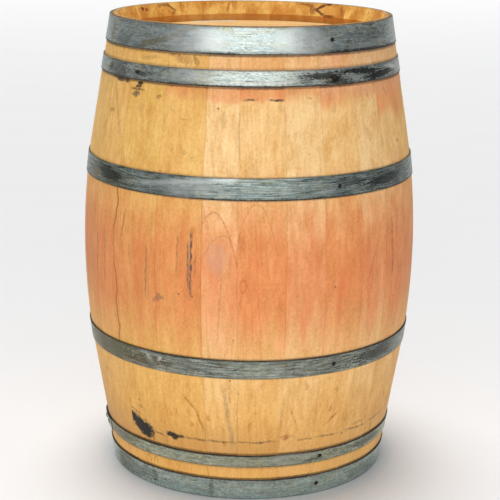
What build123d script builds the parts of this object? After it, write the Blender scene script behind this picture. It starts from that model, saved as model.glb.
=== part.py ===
"""An oak cask stood on end, to hold rain water: 26 staves, two boarded heads, six riveted hoops and a bung.

Millimetres. +Z is up, the origin is the centre of the foot, and -Y is the front. An azimuth is counted in
degrees round the cask from the front, towards +X. Lengths along a stave are heights above the floor.
"""

import os
from math import atan, cos, degrees, pi, radians, sin, sqrt

from build123d import *

# The cask's outline
HEIGHT = 950.0
BILGE_RADIUS = 347.5  # outside of the wood at half height
STAVE_THICKNESS = 27.0
TAPER = 0.168  # radius lost per millimetre of height on a stave's straight ends
BEND_REACH = 233.0  # the bent middle of a stave runs this far above and below half height

# A stave's end: flat chime, inside bevel, hollowed howel and the croze groove that holds the head
CHIME_FLAT = 12.0
BEVEL_HEIGHT = 28.0
HOWEL_HOLLOW = 1.5
CROZE_TOP = 44.5  # from the stave's end to the groove's near wall
CROZE_WIDTH = 5.5
CROZE_DEPTH = 6.0

# Widths round the bilge, starting at the joint at FIRST_JOINT. They are shares of the whole girth.
FIRST_JOINT = -49.2
FRONT_WIDTHS = [107, 99, 71, 95, 81, 88, 74, 78]
RIGHT_WIDTHS = [84, 70, 92, 66, 88, 75, 93, 75]
BUNG_STAVE_WIDTH = 108
LEFT_WIDTHS = [90, 70, 86, 77, 95, 66, 92, 85, 78]
STAVE_WIDTHS = FRONT_WIDTHS + RIGHT_WIDTHS + [BUNG_STAVE_WIDTH] + LEFT_WIDTHS
BUNG_STAVE = len(FRONT_WIDTHS + RIGHT_WIDTHS)

# Heads
HEAD_SETBACK = 40.0  # from the stave's end to the head's outer face
HEAD_THICKNESS = 24.0
HEAD_RIM_CLEARANCE = 0.1
OUTER_BEVEL = 20.0
INNER_BEVEL = 18.0
BOARD_WIDTHS = [72, 80, 86, 76, 90, 78, 65]
RUSH_THICKNESS = 0.8
RUSH_HEIGHT = 18.0
DOWEL_RADIUS = 4.0
DOWEL_LENGTH = 44.0
DOWEL_PLACES = (-120.0, 115.0)
DOWEL_CLEARANCE = 0.05

# Hoops, as name: (lower edge, upper edge, azimuth of the lap's end, rivets, azimuths of the nails)
HOOPS = {
    "head_hoop_bottom": (1.0, 44.5, 210.0, 3, (29.0, 148.5, 263.0)),
    "quarter_hoop_bottom": (73.9, 100.3, 289.0, 2, (29.0, 150.0, 261.5)),
    "bilge_hoop_bottom": (271.4, 310.7, 205.0, 2, (30.3, 151.5, 262.0)),
    "bilge_hoop_top": (627.7, 670.1, 202.0, 2, (30.8, 149.0, 264.0)),
    "quarter_hoop_top": (838.3, 869.3, 217.0, 2, (31.5, 150.5, 262.5, 314.5)),
    "head_hoop_top": (897.6, 949.0, 200.0, 3, (31.7, 149.5, 263.5)),
}
HOOP_THICKNESS = 1.8
HOOP_CLEARANCE = 0.05
LAP_LENGTH = 74.0
RIVET_RADIUS = 3.0
RIVET_HEAD_RADIUS = 6.0
RIVET_HEAD_HEIGHT = 2.6
NAIL_RADIUS = 1.6
NAIL_LENGTH = 22.0
NAIL_HEAD_RADIUS = 4.2
NAIL_HEAD_HEIGHT = 1.4
FASTENER_CLEARANCE = 0.05

# Bung and bung hole: one taper, the bung a little smaller all over
BUNG_RADIUS = 25.5  # of the hole where it leaves the stave's outer face
BUNG_TAPER = 0.07
BUNG_CLEARANCE = 0.08
BUNG_PROUD = 5.0
BUNG_INSIDE = 9.0
BUNG_EDGE = 2.0

TAPER_ANGLE = atan(TAPER)
BEND_RADIUS = BEND_REACH / sin(TAPER_ANGLE)
MIDDLE = HEIGHT / 2
CROZE_RADIUS_AT = HEIGHT - CROZE_TOP - CROZE_WIDTH / 2


def bent_radius(height, thickness):
    """Radius of the stave's surface that lies this far inside the outer one."""
    reach = abs(height - MIDDLE)
    bend = BEND_RADIUS - thickness
    bend_end = bend * sin(TAPER_ANGLE)
    centre = BILGE_RADIUS - BEND_RADIUS
    if reach <= bend_end:
        return centre + sqrt(bend**2 - reach**2)
    return centre + bend * cos(TAPER_ANGLE) - TAPER * (reach - bend_end)


def outer_radius(height):
    return bent_radius(height, 0.0)


def inner_radius(height):
    return bent_radius(height, STAVE_THICKNESS)


CROZE_RADIUS = inner_radius(CROZE_RADIUS_AT) + CROZE_DEPTH
HEAD_RADIUS = CROZE_RADIUS - HEAD_RIM_CLEARANCE


def radial_plane(azimuth):
    """The plane through the axis with x pointing outwards at this azimuth and y up."""
    a = radians(azimuth)
    return Plane(origin=(0, 0, 0), x_dir=(sin(a), -cos(a), 0), z_dir=(-cos(a), -sin(a), 0))


def outward(azimuth, height, radius):
    """A place on the cask's surface, with its z axis along the surface's normal and its y axis up."""
    a = radians(azimuth)
    slope = (outer_radius(height + 1) - outer_radius(height - 1)) / 2
    normal = Vector(sin(a), -cos(a), -slope)
    origin = (radius * sin(a), -radius * cos(a), height)
    return Plane(origin=origin, x_dir=(cos(a), sin(a), 0), z_dir=normal.normalized())


def stave_joints():
    """The azimuths of the joints, one more than there are staves."""
    joints = [FIRST_JOINT]
    for width in STAVE_WIDTHS:
        joints.append(joints[-1] + 360.0 * width / sum(STAVE_WIDTHS))
    return joints


def stave_end(sign):
    """The corners inside a stave's end, from the chime to the inner wall, top for +1 and foot for -1."""
    throat = HEIGHT - BEVEL_HEIGHT
    near, far = HEIGHT - CROZE_TOP, HEIGHT - CROZE_TOP - CROZE_WIDTH
    corners = {
        "chime": (outer_radius(HEIGHT) - CHIME_FLAT, HEIGHT),
        "throat": (inner_radius(throat), throat),
        "howel": ((inner_radius(throat) + inner_radius(near)) / 2 + HOWEL_HOLLOW, (throat + near) / 2),
        "croze_lip": (inner_radius(near), near),
        "croze_near": (CROZE_RADIUS, near),
        "croze_far": (CROZE_RADIUS, far),
        "wall": (inner_radius(far), far),
    }
    return {name: (r, MIDDLE + sign * (z - MIDDLE)) for name, (r, z) in corners.items()}


def hoop_names():
    return list(HOOPS)


def hoop_radius(hoop, height):
    """The inside of a hoop's strap, a straight flare that clears the curved stave under it."""
    low, high = HOOPS[hoop][:2]
    low_r, high_r = outer_radius(low), outer_radius(high)
    middle = (low + high) / 2
    bulge = outer_radius(middle) - (low_r + high_r) / 2
    return low_r + (high_r - low_r) * (height - low) / (high - low) + bulge + HOOP_CLEARANCE


def hoop_middle(hoop):
    low, high = HOOPS[hoop][:2]
    return (low + high) / 2


def nail_places(hoop):
    height = hoop_middle(hoop)
    surface = hoop_radius(hoop, height) + HOOP_THICKNESS
    return [outward(azimuth, height, surface) for azimuth in HOOPS[hoop][4]]


def rivet_places(hoop):
    """Rivets stand in a row along the lap, with half a pitch of strap beyond the last one."""
    height = hoop_middle(hoop)
    count, end = HOOPS[hoop][3], HOOPS[hoop][2]
    surface = hoop_radius(hoop, height) + 2 * HOOP_THICKNESS
    pitch = degrees(LAP_LENGTH / outer_radius(height)) / count
    return [outward(end - pitch * (n + 0.5), height, surface) for n in range(count)]


def make_stave(start, width, bung_hole):
    """One stave between two radial joints, with the holes that its hoop nails are driven into."""
    top, foot = stave_end(1), stave_end(-1)
    inner_reach = (BEND_RADIUS - STAVE_THICKNESS) * sin(TAPER_ANGLE)
    with BuildPart() as stave:
        with BuildSketch(radial_plane(start)):
            with BuildLine():
                Line((outer_radius(0), 0), (outer_radius(MIDDLE - BEND_REACH), MIDDLE - BEND_REACH))
                ThreePointArc(
                    (outer_radius(MIDDLE - BEND_REACH), MIDDLE - BEND_REACH),
                    (BILGE_RADIUS, MIDDLE),
                    (outer_radius(MIDDLE + BEND_REACH), MIDDLE + BEND_REACH),
                )
                Line(
                    (outer_radius(MIDDLE + BEND_REACH), MIDDLE + BEND_REACH), (outer_radius(HEIGHT), HEIGHT)
                )
                Polyline((outer_radius(HEIGHT), HEIGHT), top["chime"], top["throat"])
                ThreePointArc(top["throat"], top["howel"], top["croze_lip"])
                Polyline(top["croze_lip"], top["croze_near"], top["croze_far"], top["wall"])
                Line(top["wall"], (inner_radius(MIDDLE + inner_reach), MIDDLE + inner_reach))
                ThreePointArc(
                    (inner_radius(MIDDLE + inner_reach), MIDDLE + inner_reach),
                    (BILGE_RADIUS - STAVE_THICKNESS, MIDDLE),
                    (inner_radius(MIDDLE - inner_reach), MIDDLE - inner_reach),
                )
                Line((inner_radius(MIDDLE - inner_reach), MIDDLE - inner_reach), foot["wall"])
                Polyline(foot["wall"], foot["croze_far"], foot["croze_near"], foot["croze_lip"])
                ThreePointArc(foot["croze_lip"], foot["howel"], foot["throat"])
                Polyline(foot["throat"], foot["chime"], (outer_radius(0), 0))
            make_face()
        revolve(axis=Axis.Z, revolution_arc=width)
        for hoop in hoop_names():
            for azimuth, place in zip(HOOPS[hoop][4], nail_places(hoop)):
                if 0 < (azimuth - start) % 360 < width:
                    with Locations(place.location):
                        Cylinder(
                            NAIL_RADIUS + FASTENER_CLEARANCE,
                            2 * (NAIL_LENGTH + FASTENER_CLEARANCE),
                            mode=Mode.SUBTRACT,
                        )
        if bung_hole:
            with BuildSketch(Plane(origin=(0, 0, MIDDLE), x_dir=(1, 0, 0), z_dir=(0, 0, 1))):
                with BuildLine():
                    Polyline(*bung_outline(0.0, 2 * BUNG_PROUD, 2 * BUNG_PROUD), close=True)
                make_face()
            revolve(axis=Axis((0, 0, MIDDLE), (0, 1, 0)), mode=Mode.SUBTRACT)
    return stave.part


def bung_outline(clearance, proud, inside):
    """Half of the bung's lengthways section, from its axis outwards, with x across and y outwards."""
    inner_end = BILGE_RADIUS - STAVE_THICKNESS - inside
    outer_end = BILGE_RADIUS + proud

    def radius(y):
        return BUNG_RADIUS - clearance - BUNG_TAPER * (BILGE_RADIUS - y)

    return [(0, inner_end), (radius(inner_end), inner_end), (radius(outer_end), outer_end), (0, outer_end)]


def make_bung():
    with BuildPart() as bung:
        with BuildSketch(Plane(origin=(0, 0, MIDDLE), x_dir=(1, 0, 0), z_dir=(0, 0, 1))):
            with BuildLine():
                Polyline(*bung_outline(BUNG_CLEARANCE, BUNG_PROUD, BUNG_INSIDE), close=True)
            make_face()
        revolve(axis=Axis((0, 0, MIDDLE), (0, 1, 0)))
        chamfer(bung.edges().filter_by(GeomType.CIRCLE), BUNG_EDGE)
    return bung.part


def head_height(setback, sign):
    """The height of something this far in from a stave's end, top for +1 and foot for -1."""
    return MIDDLE + sign * (MIDDLE - setback)


def board_edges():
    """Where the head's boards start and end along Y, with a rush's thickness between neighbours."""
    scale = 2 * HEAD_RADIUS / sum(BOARD_WIDTHS)
    edges, y = [], -HEAD_RADIUS
    for width in BOARD_WIDTHS:
        edges.append((y, y + width * scale))
        y += width * scale
    return edges


def dowel_cylinder(sign, y, x, clearance, mode):
    middle = head_height(HEAD_SETBACK + HEAD_THICKNESS / 2, sign)
    with Locations(Location((x, y, middle), (90, 0, 0))):
        Cylinder(DOWEL_RADIUS + clearance, DOWEL_LENGTH + 2 * clearance, mode=mode)


def head_section(sign):
    """Half of a head's section, from the axis to the tongue that sits in the croze."""
    rim_near = CROZE_TOP + HEAD_RIM_CLEARANCE
    rim_far = CROZE_TOP + CROZE_WIDTH - HEAD_RIM_CLEARANCE
    back = HEAD_SETBACK + HEAD_THICKNESS
    lip = inner_radius(CROZE_RADIUS_AT) - HEAD_RIM_CLEARANCE * 2
    outline = [
        (0, HEAD_SETBACK),
        (lip - OUTER_BEVEL, HEAD_SETBACK),
        (lip, rim_near),
        (HEAD_RADIUS, rim_near),
        (HEAD_RADIUS, rim_far),
        (lip, rim_far),
        (lip - INNER_BEVEL, back),
        (0, back),
    ]
    with BuildSketch(Plane.XZ) as section:
        with BuildLine():
            Polyline(*[(r, head_height(setback, sign)) for r, setback in outline], close=True)
        make_face()
    return section.sketch


def make_board(sign, index):
    edges = board_edges()
    low, high = edges[index]
    with BuildPart() as board:
        revolve(head_section(sign), axis=Axis.Z)
        if index > 0:
            low_cut = Plane(origin=(0, low + RUSH_THICKNESS / 2, 0), z_dir=(0, 1, 0))
            split(bisect_by=low_cut, keep=Keep.TOP)
            for x in DOWEL_PLACES:
                dowel_cylinder(sign, low, x, DOWEL_CLEARANCE, Mode.SUBTRACT)
        if index < len(edges) - 1:
            high_cut = Plane(origin=(0, high - RUSH_THICKNESS / 2, 0), z_dir=(0, 1, 0))
            split(bisect_by=high_cut, keep=Keep.BOTTOM)
            for x in DOWEL_PLACES:
                dowel_cylinder(sign, high, x, DOWEL_CLEARANCE, Mode.SUBTRACT)
    return board.part


def make_rushes(sign):
    """A flat rush strip in each joint of a head, cut short of the rim, with the dowels through it."""
    middle = head_height(HEAD_SETBACK + HEAD_THICKNESS / 2, sign)
    rim = inner_radius(CROZE_RADIUS_AT) - OUTER_BEVEL
    with BuildPart() as rushes:
        for _, y in board_edges()[:-1]:
            length = 2 * sqrt(rim**2 - y**2)
            with Locations((0, y, middle)):
                Box(length, RUSH_THICKNESS - 2 * FASTENER_CLEARANCE, RUSH_HEIGHT)
            for x in DOWEL_PLACES:
                dowel_cylinder(sign, y, x, DOWEL_CLEARANCE, Mode.SUBTRACT)
    return rushes.part


def make_dowels(sign):
    with BuildPart() as dowels:
        for _, y in board_edges()[:-1]:
            for x in DOWEL_PLACES:
                dowel_cylinder(sign, y, x, 0.0, Mode.ADD)
    return dowels.part


def strap_section(hoop, azimuth, layer):
    """The strap's section at an azimuth; layer 0 lies on the staves and layer 1 on layer 0."""
    low, high, inset = HOOPS[hoop][0], HOOPS[hoop][1], layer * HOOP_THICKNESS
    with BuildSketch(radial_plane(azimuth)) as section:
        with BuildLine():
            Polyline(
                (hoop_radius(hoop, low) + inset, low),
                (hoop_radius(hoop, low) + inset + HOOP_THICKNESS, low),
                (hoop_radius(hoop, high) + inset + HOOP_THICKNESS, high),
                (hoop_radius(hoop, high) + inset, high),
                close=True,
            )
        make_face()
    return section.sketch


def make_hoop(hoop):
    """A flared strap round the cask, its end lapped over its start, drilled for its rivets and nails."""
    lap_end = HOOPS[hoop][2]
    lap = degrees(LAP_LENGTH / outer_radius(hoop_middle(hoop)))
    with BuildPart() as strap:
        revolve(strap_section(hoop, lap_end, 0), axis=Axis.Z)
        revolve(strap_section(hoop, lap_end - lap, 1), axis=Axis.Z, revolution_arc=lap)
        with Locations(*[place.location for place in rivet_places(hoop)]):
            Cylinder(RIVET_RADIUS + FASTENER_CLEARANCE, 6 * HOOP_THICKNESS, mode=Mode.SUBTRACT)
        with Locations(*[place.location for place in nail_places(hoop)]):
            Cylinder(NAIL_RADIUS + FASTENER_CLEARANCE, 4 * HOOP_THICKNESS, mode=Mode.SUBTRACT)
    return strap.part


def make_rivets():
    """Each rivet is a domed head on the lap and a shank through both layers of strap."""
    shank = 2 * HOOP_THICKNESS
    with BuildPart() as rivets:
        for hoop in hoop_names():
            for place in rivet_places(hoop):
                with BuildSketch(Plane(origin=place.origin, x_dir=place.x_dir, z_dir=-place.y_dir)):
                    with BuildLine():
                        Polyline(
                            (0, -shank),
                            (RIVET_RADIUS, -shank),
                            (RIVET_RADIUS, 0),
                            (RIVET_HEAD_RADIUS, 0),
                            (RIVET_HEAD_RADIUS, RIVET_HEAD_HEIGHT * 0.25),
                            (RIVET_HEAD_RADIUS * 0.8, RIVET_HEAD_HEIGHT * 0.7),
                            (RIVET_HEAD_RADIUS * 0.45, RIVET_HEAD_HEIGHT),
                            (0, RIVET_HEAD_HEIGHT),
                            close=True,
                        )
                    make_face()
                revolve(axis=Axis(place.origin, place.z_dir))
    return rivets.part


def make_nails():
    with BuildPart() as nails:
        for hoop in hoop_names():
            for place in nail_places(hoop):
                with BuildSketch(Plane(origin=place.origin, x_dir=place.x_dir, z_dir=-place.y_dir)):
                    with BuildLine():
                        Polyline(
                            (0, -NAIL_LENGTH),
                            (NAIL_RADIUS, 2 * NAIL_RADIUS - NAIL_LENGTH),
                            (NAIL_RADIUS, 0),
                            (NAIL_HEAD_RADIUS, 0),
                            (NAIL_HEAD_RADIUS, NAIL_HEAD_HEIGHT / 2),
                            (NAIL_HEAD_RADIUS * 0.6, NAIL_HEAD_HEIGHT),
                            (0, NAIL_HEAD_HEIGHT),
                            close=True,
                        )
                    make_face()
                revolve(axis=Axis(place.origin, place.z_dir))
    return nails.part


def save(part, name):
    part.label = name
    export_step(part, f"parts/{name}.step")
    print(name, round(part.volume), len(part.solids()))


os.makedirs("parts", exist_ok=True)
joints = stave_joints()
for number, start in enumerate(joints[:-1]):
    is_bung_stave = number == BUNG_STAVE
    stave_name = "bung_stave" if is_bung_stave else f"stave_{number + 1:02d}"
    save(make_stave(start, joints[number + 1] - start, is_bung_stave), stave_name)
for end_name, end_sign in (("top", 1), ("bottom", -1)):
    for number in range(len(BOARD_WIDTHS)):
        save(make_board(end_sign, number), f"{end_name}_head_board_{number + 1}")
    save(make_rushes(end_sign), f"{end_name}_head_rushes")
    save(make_dowels(end_sign), f"{end_name}_head_dowels")
for hoop_name in hoop_names():
    save(make_hoop(hoop_name), hoop_name)
save(make_rivets(), "hoop_rivets")
save(make_nails(), "hoop_nails")
save(make_bung(), "bung")
print("bung azimuth", (joints[BUNG_STAVE] + joints[BUNG_STAVE + 1]) / 2, "staves", len(STAVE_WIDTHS))
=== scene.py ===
"""The looks of an oak cask stood on end: staves, boarded heads, hoops, nails, rivets and bung.

Metres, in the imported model's frame: +Z up, -Y the front. Azimuths are degrees round the cask from the
front, towards +X.
"""

from functools import reduce
from math import atan, cos, degrees, hypot, pi, radians, sin
from random import Random
from types import SimpleNamespace

import bmesh
import bpy
import numpy as np
from mathutils import Matrix, Vector


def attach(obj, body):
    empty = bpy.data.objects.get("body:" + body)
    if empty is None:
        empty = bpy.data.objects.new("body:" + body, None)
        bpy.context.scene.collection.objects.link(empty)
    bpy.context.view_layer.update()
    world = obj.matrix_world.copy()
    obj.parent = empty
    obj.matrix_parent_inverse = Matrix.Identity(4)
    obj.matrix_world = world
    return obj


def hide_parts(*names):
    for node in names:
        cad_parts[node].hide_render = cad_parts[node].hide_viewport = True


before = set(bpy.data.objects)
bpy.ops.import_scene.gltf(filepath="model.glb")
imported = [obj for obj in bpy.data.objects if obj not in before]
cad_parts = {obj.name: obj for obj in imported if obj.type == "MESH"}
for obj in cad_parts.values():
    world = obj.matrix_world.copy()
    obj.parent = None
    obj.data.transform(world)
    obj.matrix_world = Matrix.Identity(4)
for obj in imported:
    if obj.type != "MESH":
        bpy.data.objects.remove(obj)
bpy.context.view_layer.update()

# ---------------------------------------------------------------- the cask's shape, as in the CAD model

HEIGHT = 0.95
MIDDLE = HEIGHT / 2
BILGE_RADIUS = 0.3475
THICKNESS = 0.027
TAPER = 0.168
BEND_REACH = 0.233
TAPER_ANGLE = atan(TAPER)
BEND_RADIUS = BEND_REACH / sin(TAPER_ANGLE)

FIRST_JOINT = -49.2
STAVE_WIDTHS = [107, 99, 71, 95, 81, 88, 74, 78, 84, 70, 92, 66, 88]
STAVE_WIDTHS += [75, 93, 75, 108, 90, 70, 86, 77, 95, 66, 92, 85, 78]
BUNG_STAVE = 16
STAVES = len(STAVE_WIDTHS)

CHIME_FLAT = 0.012
BEVEL_HEIGHT = 0.028
HOWEL_HOLLOW = 0.0015
CROZE_TOP = 0.0445
CROZE_WIDTH = 0.0055
CROZE_DEPTH = 0.006

HEAD_SETBACK = 0.040
HEAD_THICKNESS = 0.024
HEAD_CLEARANCE = 0.0001
OUTER_BEVEL = 0.020
INNER_BEVEL = 0.018
BOARD_WIDTHS = [72, 80, 86, 76, 90, 78, 65]
RUSH = 0.0008

# name: lower edge, upper edge, azimuth of the lap's end, rivets, azimuths of the nails
HOOPS = {
    "head_hoop_bottom": (0.0010, 0.0445, 210.0, 3, (29.0, 148.5, 263.0)),
    "quarter_hoop_bottom": (0.0739, 0.1003, 289.0, 2, (29.0, 150.0, 261.5)),
    "bilge_hoop_bottom": (0.2714, 0.3107, 205.0, 2, (30.3, 151.5, 262.0)),
    "bilge_hoop_top": (0.6277, 0.6701, 202.0, 2, (30.8, 149.0, 264.0)),
    "quarter_hoop_top": (0.8383, 0.8693, 217.0, 2, (31.5, 150.5, 262.5, 314.5)),
    "head_hoop_top": (0.8976, 0.9490, 200.0, 3, (31.7, 149.5, 263.5)),
}
HOOP_THICKNESS = 0.0018
HOOP_CLEARANCE = 0.00005
LAP_LENGTH = 0.074

BUNG_RADIUS = 0.0255
BUNG_TAPER = 0.07
BUNG_CLEARANCE = 0.00008
BUNG_PROUD = 0.005
BUNG_INSIDE = 0.009


def depth_radius(z, depth):
    """Radius of the stave's surface that lies this far inside the outer one, for a height or an array."""
    reach = np.abs(np.asarray(z, float) - MIDDLE)
    bend = BEND_RADIUS - depth
    bend_end = bend * sin(TAPER_ANGLE)
    centre = BILGE_RADIUS - BEND_RADIUS
    bent = centre + np.sqrt(np.maximum(bend**2 - reach**2, 0.0))
    straight = centre + bend * cos(TAPER_ANGLE) - TAPER * (reach - bend_end)
    return np.where(reach <= bend_end, bent, straight)


def outer_radius(z):
    return depth_radius(z, 0.0)


def inner_radius(z):
    return depth_radius(z, THICKNESS)


CROZE_HEIGHT = HEIGHT - CROZE_TOP - CROZE_WIDTH / 2
CROZE_RADIUS = float(inner_radius(CROZE_HEIGHT)) + CROZE_DEPTH
HEAD_RADIUS = CROZE_RADIUS - HEAD_CLEARANCE

JOINTS = [FIRST_JOINT]
for width in STAVE_WIDTHS:
    JOINTS.append(JOINTS[-1] + 360.0 * width / sum(STAVE_WIDTHS))


def hoop_radius(hoop, z):
    """The inside of a hoop's strap at a height."""
    low, high = HOOPS[hoop][:2]
    low_r, high_r = float(outer_radius(low)), float(outer_radius(high))
    bulge = float(outer_radius((low + high) / 2)) - (low_r + high_r) / 2
    return low_r + (high_r - low_r) * (z - low) / (high - low) + bulge + HOOP_CLEARANCE


def wander(seed, count, longest, size):
    """A smooth random curve of a length, as a function: a few sines whose waves get shorter and lower."""
    rng = Random(seed)
    waves = []
    for n in range(count):
        share = 1.0 / (1 + n)
        waves.append((2 * pi / (longest * share * rng.uniform(0.8, 1.2)), rng.uniform(0, 2 * pi), share))
    total = sum(w[2] for w in waves)

    def curve(x):
        return size * sum(a * np.sin(k * np.asarray(x, float) + p) for k, p, a in waves) / total

    return curve


# ---------------------------------------------------------------- meshes


def added(name, data):
    """A new object in the scene."""
    made = bpy.data.objects.new(name, data)
    bpy.context.scene.collection.objects.link(made)
    return made


def finish_mesh(name, mesh, material, body, replaced, sharp=38):
    """Makes the object, smooths it up to an angle, and hangs it on its CAD body."""
    mesh.shade_smooth()
    mesh.set_sharp_from_angle(angle=radians(sharp))
    mesh.materials.append(material)
    piece = added(name, mesh)
    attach(piece, body)
    if replaced:
        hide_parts(*replaced)
    return piece


def sweep_mesh(name, points, grain=None, caps=True):
    """A closed section swept through columns: points and grain are arrays of columns, section points, 3."""
    columns, around = points.shape[:2]
    c, p = np.meshgrid(np.arange(columns - 1), np.arange(around), indexing="ij")
    q = (p + 1) % around
    faces = np.stack([c * around + p, (c + 1) * around + p, (c + 1) * around + q, c * around + q], -1)
    faces = [tuple(f) for f in faces.reshape(-1, 4).tolist()]
    if caps:
        faces.append(tuple(range(around)))
        faces.append(tuple(range(columns * around - 1, (columns - 1) * around - 1, -1)))
    mesh = bpy.data.meshes.new(name)
    mesh.from_pydata(points.reshape(-1, 3).tolist(), [], faces)
    if grain is not None:
        store_vectors(mesh, "grain", grain.reshape(-1, 3))
    mesh.update()
    return mesh


def store_vectors(mesh, name, values):
    attribute = mesh.attributes.new(name, "FLOAT_VECTOR", "POINT")
    attribute.data.foreach_set("vector", np.ascontiguousarray(values, np.float32).ravel())


def end_profile(sign):
    """The inside of a stave's end as (radius, height), from the chime's outer corner to the inner wall."""
    throat = HEIGHT - BEVEL_HEIGHT
    near, far = HEIGHT - CROZE_TOP, HEIGHT - CROZE_TOP - CROZE_WIDTH
    rim, rim_in = float(outer_radius(HEIGHT)), float(outer_radius(HEIGHT)) - CHIME_FLAT
    throat_r, near_r = float(inner_radius(throat)), float(inner_radius(near))
    ease = 0.0011
    path = [(rim - 0.4 * ease, HEIGHT - 0.35 * ease), (rim - ease, HEIGHT)]
    path += [(rim - CHIME_FLAT * s, HEIGHT) for s in (0.35, 0.65)]
    path += [(rim_in + 0.8 * ease, HEIGHT), (rim_in, HEIGHT - 0.3 * ease)]
    path += [(rim_in - 0.4 * ease, HEIGHT - ease)]
    for s in (0.2, 0.4, 0.6, 0.8, 0.96):
        path.append((rim_in + (throat_r - rim_in) * s, HEIGHT - BEVEL_HEIGHT * s))
    for s in (0.0, 0.12, 0.3, 0.5, 0.7, 0.88, 1.0):
        hollow = HOWEL_HOLLOW * 4 * s * (1 - s)
        path.append((throat_r + (near_r - throat_r) * s + hollow, throat + (near - throat) * s))
    path += [(CROZE_RADIUS, near), (CROZE_RADIUS, far), (float(inner_radius(far)), far)]
    return [(r, MIDDLE + sign * (z - MIDDLE)) for r, z in path]


def joint_offset(number, z):
    """How far a joint wanders from its radial plane, in metres along the girth."""
    if number == 0:
        slow = 0.0022 * np.sin(z * 2 * pi / 0.083 + 0.4) + 0.0012 * np.sin(z * 2 * pi / 0.037)
        step = -0.0085 * np.exp(-(((z - 0.515) / 0.036) ** 2))
        inside = np.clip((z - 0.20) / 0.08, 0, 1) * np.clip((0.76 - z) / 0.08, 0, 1)
        return (slow + step - 0.002) * inside
    return wander(900 + number, 3, 0.5, 0.0003)(z)


def make_stave(number):
    """One stave: bent, eased along its joints, planed a little flat and a little out of line."""
    is_bung = number == BUNG_STAVE
    name = "bung_stave" if is_bung else f"stave_{number + 1:02d}"
    rng = Random(40 + number)
    centre = (JOINTS[number] + JOINTS[number + 1]) / 2

    top, foot = end_profile(1), end_profile(-1)
    rise = np.linspace(0.0012, HEIGHT - 0.0012, 190)
    outer = [(float(outer_radius(z)), z) for z in rise]
    fall = np.linspace(0.885, 0.065, 34)
    inner = [(float(inner_radius(z)), z) for z in fall]
    section = outer + top + inner + foot[::-1]
    radius = np.array([p[0] for p in section])
    height = np.array([p[1] for p in section])
    count = len(outer)
    face = np.zeros(len(section))
    face[:count] = 1.0
    face[count] = face[count + 1] = face[-1] = face[-2] = 0.6

    # Columns: the joint's eased edge takes four, and the face between takes one every 5 mm or so.
    gap = 0.00004
    ease = [(0.0, 0.00034), (0.00025, 0.00012), (0.0006, 0.00003), (0.0015, 0.0)]
    left = JOINTS[number] + np.degrees(joint_offset(number, height) / radius)
    right = JOINTS[number + 1] + np.degrees(joint_offset((number + 1) % STAVES, height) / radius)
    middle = int(STAVE_WIDTHS[number] / 5)
    proud = -rng.uniform(0.0, 0.00045)
    wave = wander(70 + number, 4, 0.34, 0.00022)
    flat = rng.uniform(0.0002, 0.0006)
    columns = []
    places = [("left", e) for e in ease]
    places += [("middle", s) for s in np.linspace(0, 1, middle + 2)[1:-1]]
    places += [("right", e) for e in ease[::-1]]
    for side, value in places:
        if side == "left":
            azimuth = left + np.degrees((gap + value[0]) / radius)
            drop = value[1]
        elif side == "right":
            azimuth = right - np.degrees((gap + value[0]) / radius)
            drop = value[1]
        else:
            start = left + np.degrees((gap + 0.0015) / radius)
            stop = right - np.degrees((gap + 0.0015) / radius)
            azimuth = start + (stop - start) * value
            drop = 0.0
        across = np.radians(azimuth - centre) * radius
        half = 0.5 * np.radians(JOINTS[number + 1] - JOINTS[number]) * radius
        lift = (proud - flat * (1 - 0.6 * (across / half) ** 2) + wave(height) - drop) * face
        r = radius + lift
        a = np.radians(azimuth)
        columns.append(np.stack([r * np.sin(a), -r * np.cos(a), height], -1))
    return name, sweep_mesh(name, np.array(columns))


def store_stave_grain(number, mesh):
    """Stores where each point lies on its stave: across, up and into it, and how far from its joints."""
    flat = np.empty(len(mesh.vertices) * 3, np.float32)
    mesh.vertices.foreach_get("co", flat)
    x, y, height = flat.reshape(-1, 3).astype(float).T
    radius = np.hypot(x, y)
    centre = (JOINTS[number] + JOINTS[number + 1]) / 2
    across = np.radians((np.degrees(np.arctan2(x, -y)) - centre + 180) % 360 - 180) * radius
    left = np.radians(JOINTS[number] - centre) * radius + joint_offset(number, height)
    right = np.radians(JOINTS[number + 1] - centre) * radius + joint_offset((number + 1) % STAVES, height)
    store_vectors(mesh, "grain", np.stack([across, height, outer_radius(height) - radius], -1))
    to_joint = np.minimum(across - left, right - across)
    store_vectors(mesh, "edge", np.stack([to_joint, to_joint, to_joint], -1))


def cut_bung_hole(mesh):
    """Bores the tapered bung hole through the bung stave."""
    stave = added("uncut_stave", mesh)
    cutter_mesh = bpy.data.meshes.new("bung_cutter")
    bm = bmesh.new()
    low, high = BILGE_RADIUS - 0.06, BILGE_RADIUS + 0.03
    r_low = BUNG_RADIUS - BUNG_TAPER * (BILGE_RADIUS - low)
    r_high = BUNG_RADIUS - BUNG_TAPER * (BILGE_RADIUS - high)
    turn = Matrix.Translation((0, (low + high) / 2, MIDDLE)) @ Matrix.Rotation(radians(-90), 4, "X")
    cone = {"segments": 96, "radius1": r_low, "radius2": r_high, "depth": high - low}
    bmesh.ops.create_cone(bm, cap_ends=True, matrix=turn, **cone)
    bm.to_mesh(cutter_mesh)
    bm.free()
    cutter = added("bung_cutter", cutter_mesh)
    cut = stave.modifiers.new("bore", "BOOLEAN")
    cut.object = cutter
    cut.operation = "DIFFERENCE"
    cut.solver = "EXACT"
    depsgraph = bpy.context.evaluated_depsgraph_get()
    bored = bpy.data.meshes.new_from_object(
        stave.evaluated_get(depsgraph), preserve_all_data_layers=True, depsgraph=depsgraph
    )
    bpy.data.objects.remove(stave)
    bpy.data.objects.remove(cutter)
    bored.name = "bung_stave"
    bored.materials.clear()
    return bored


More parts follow.
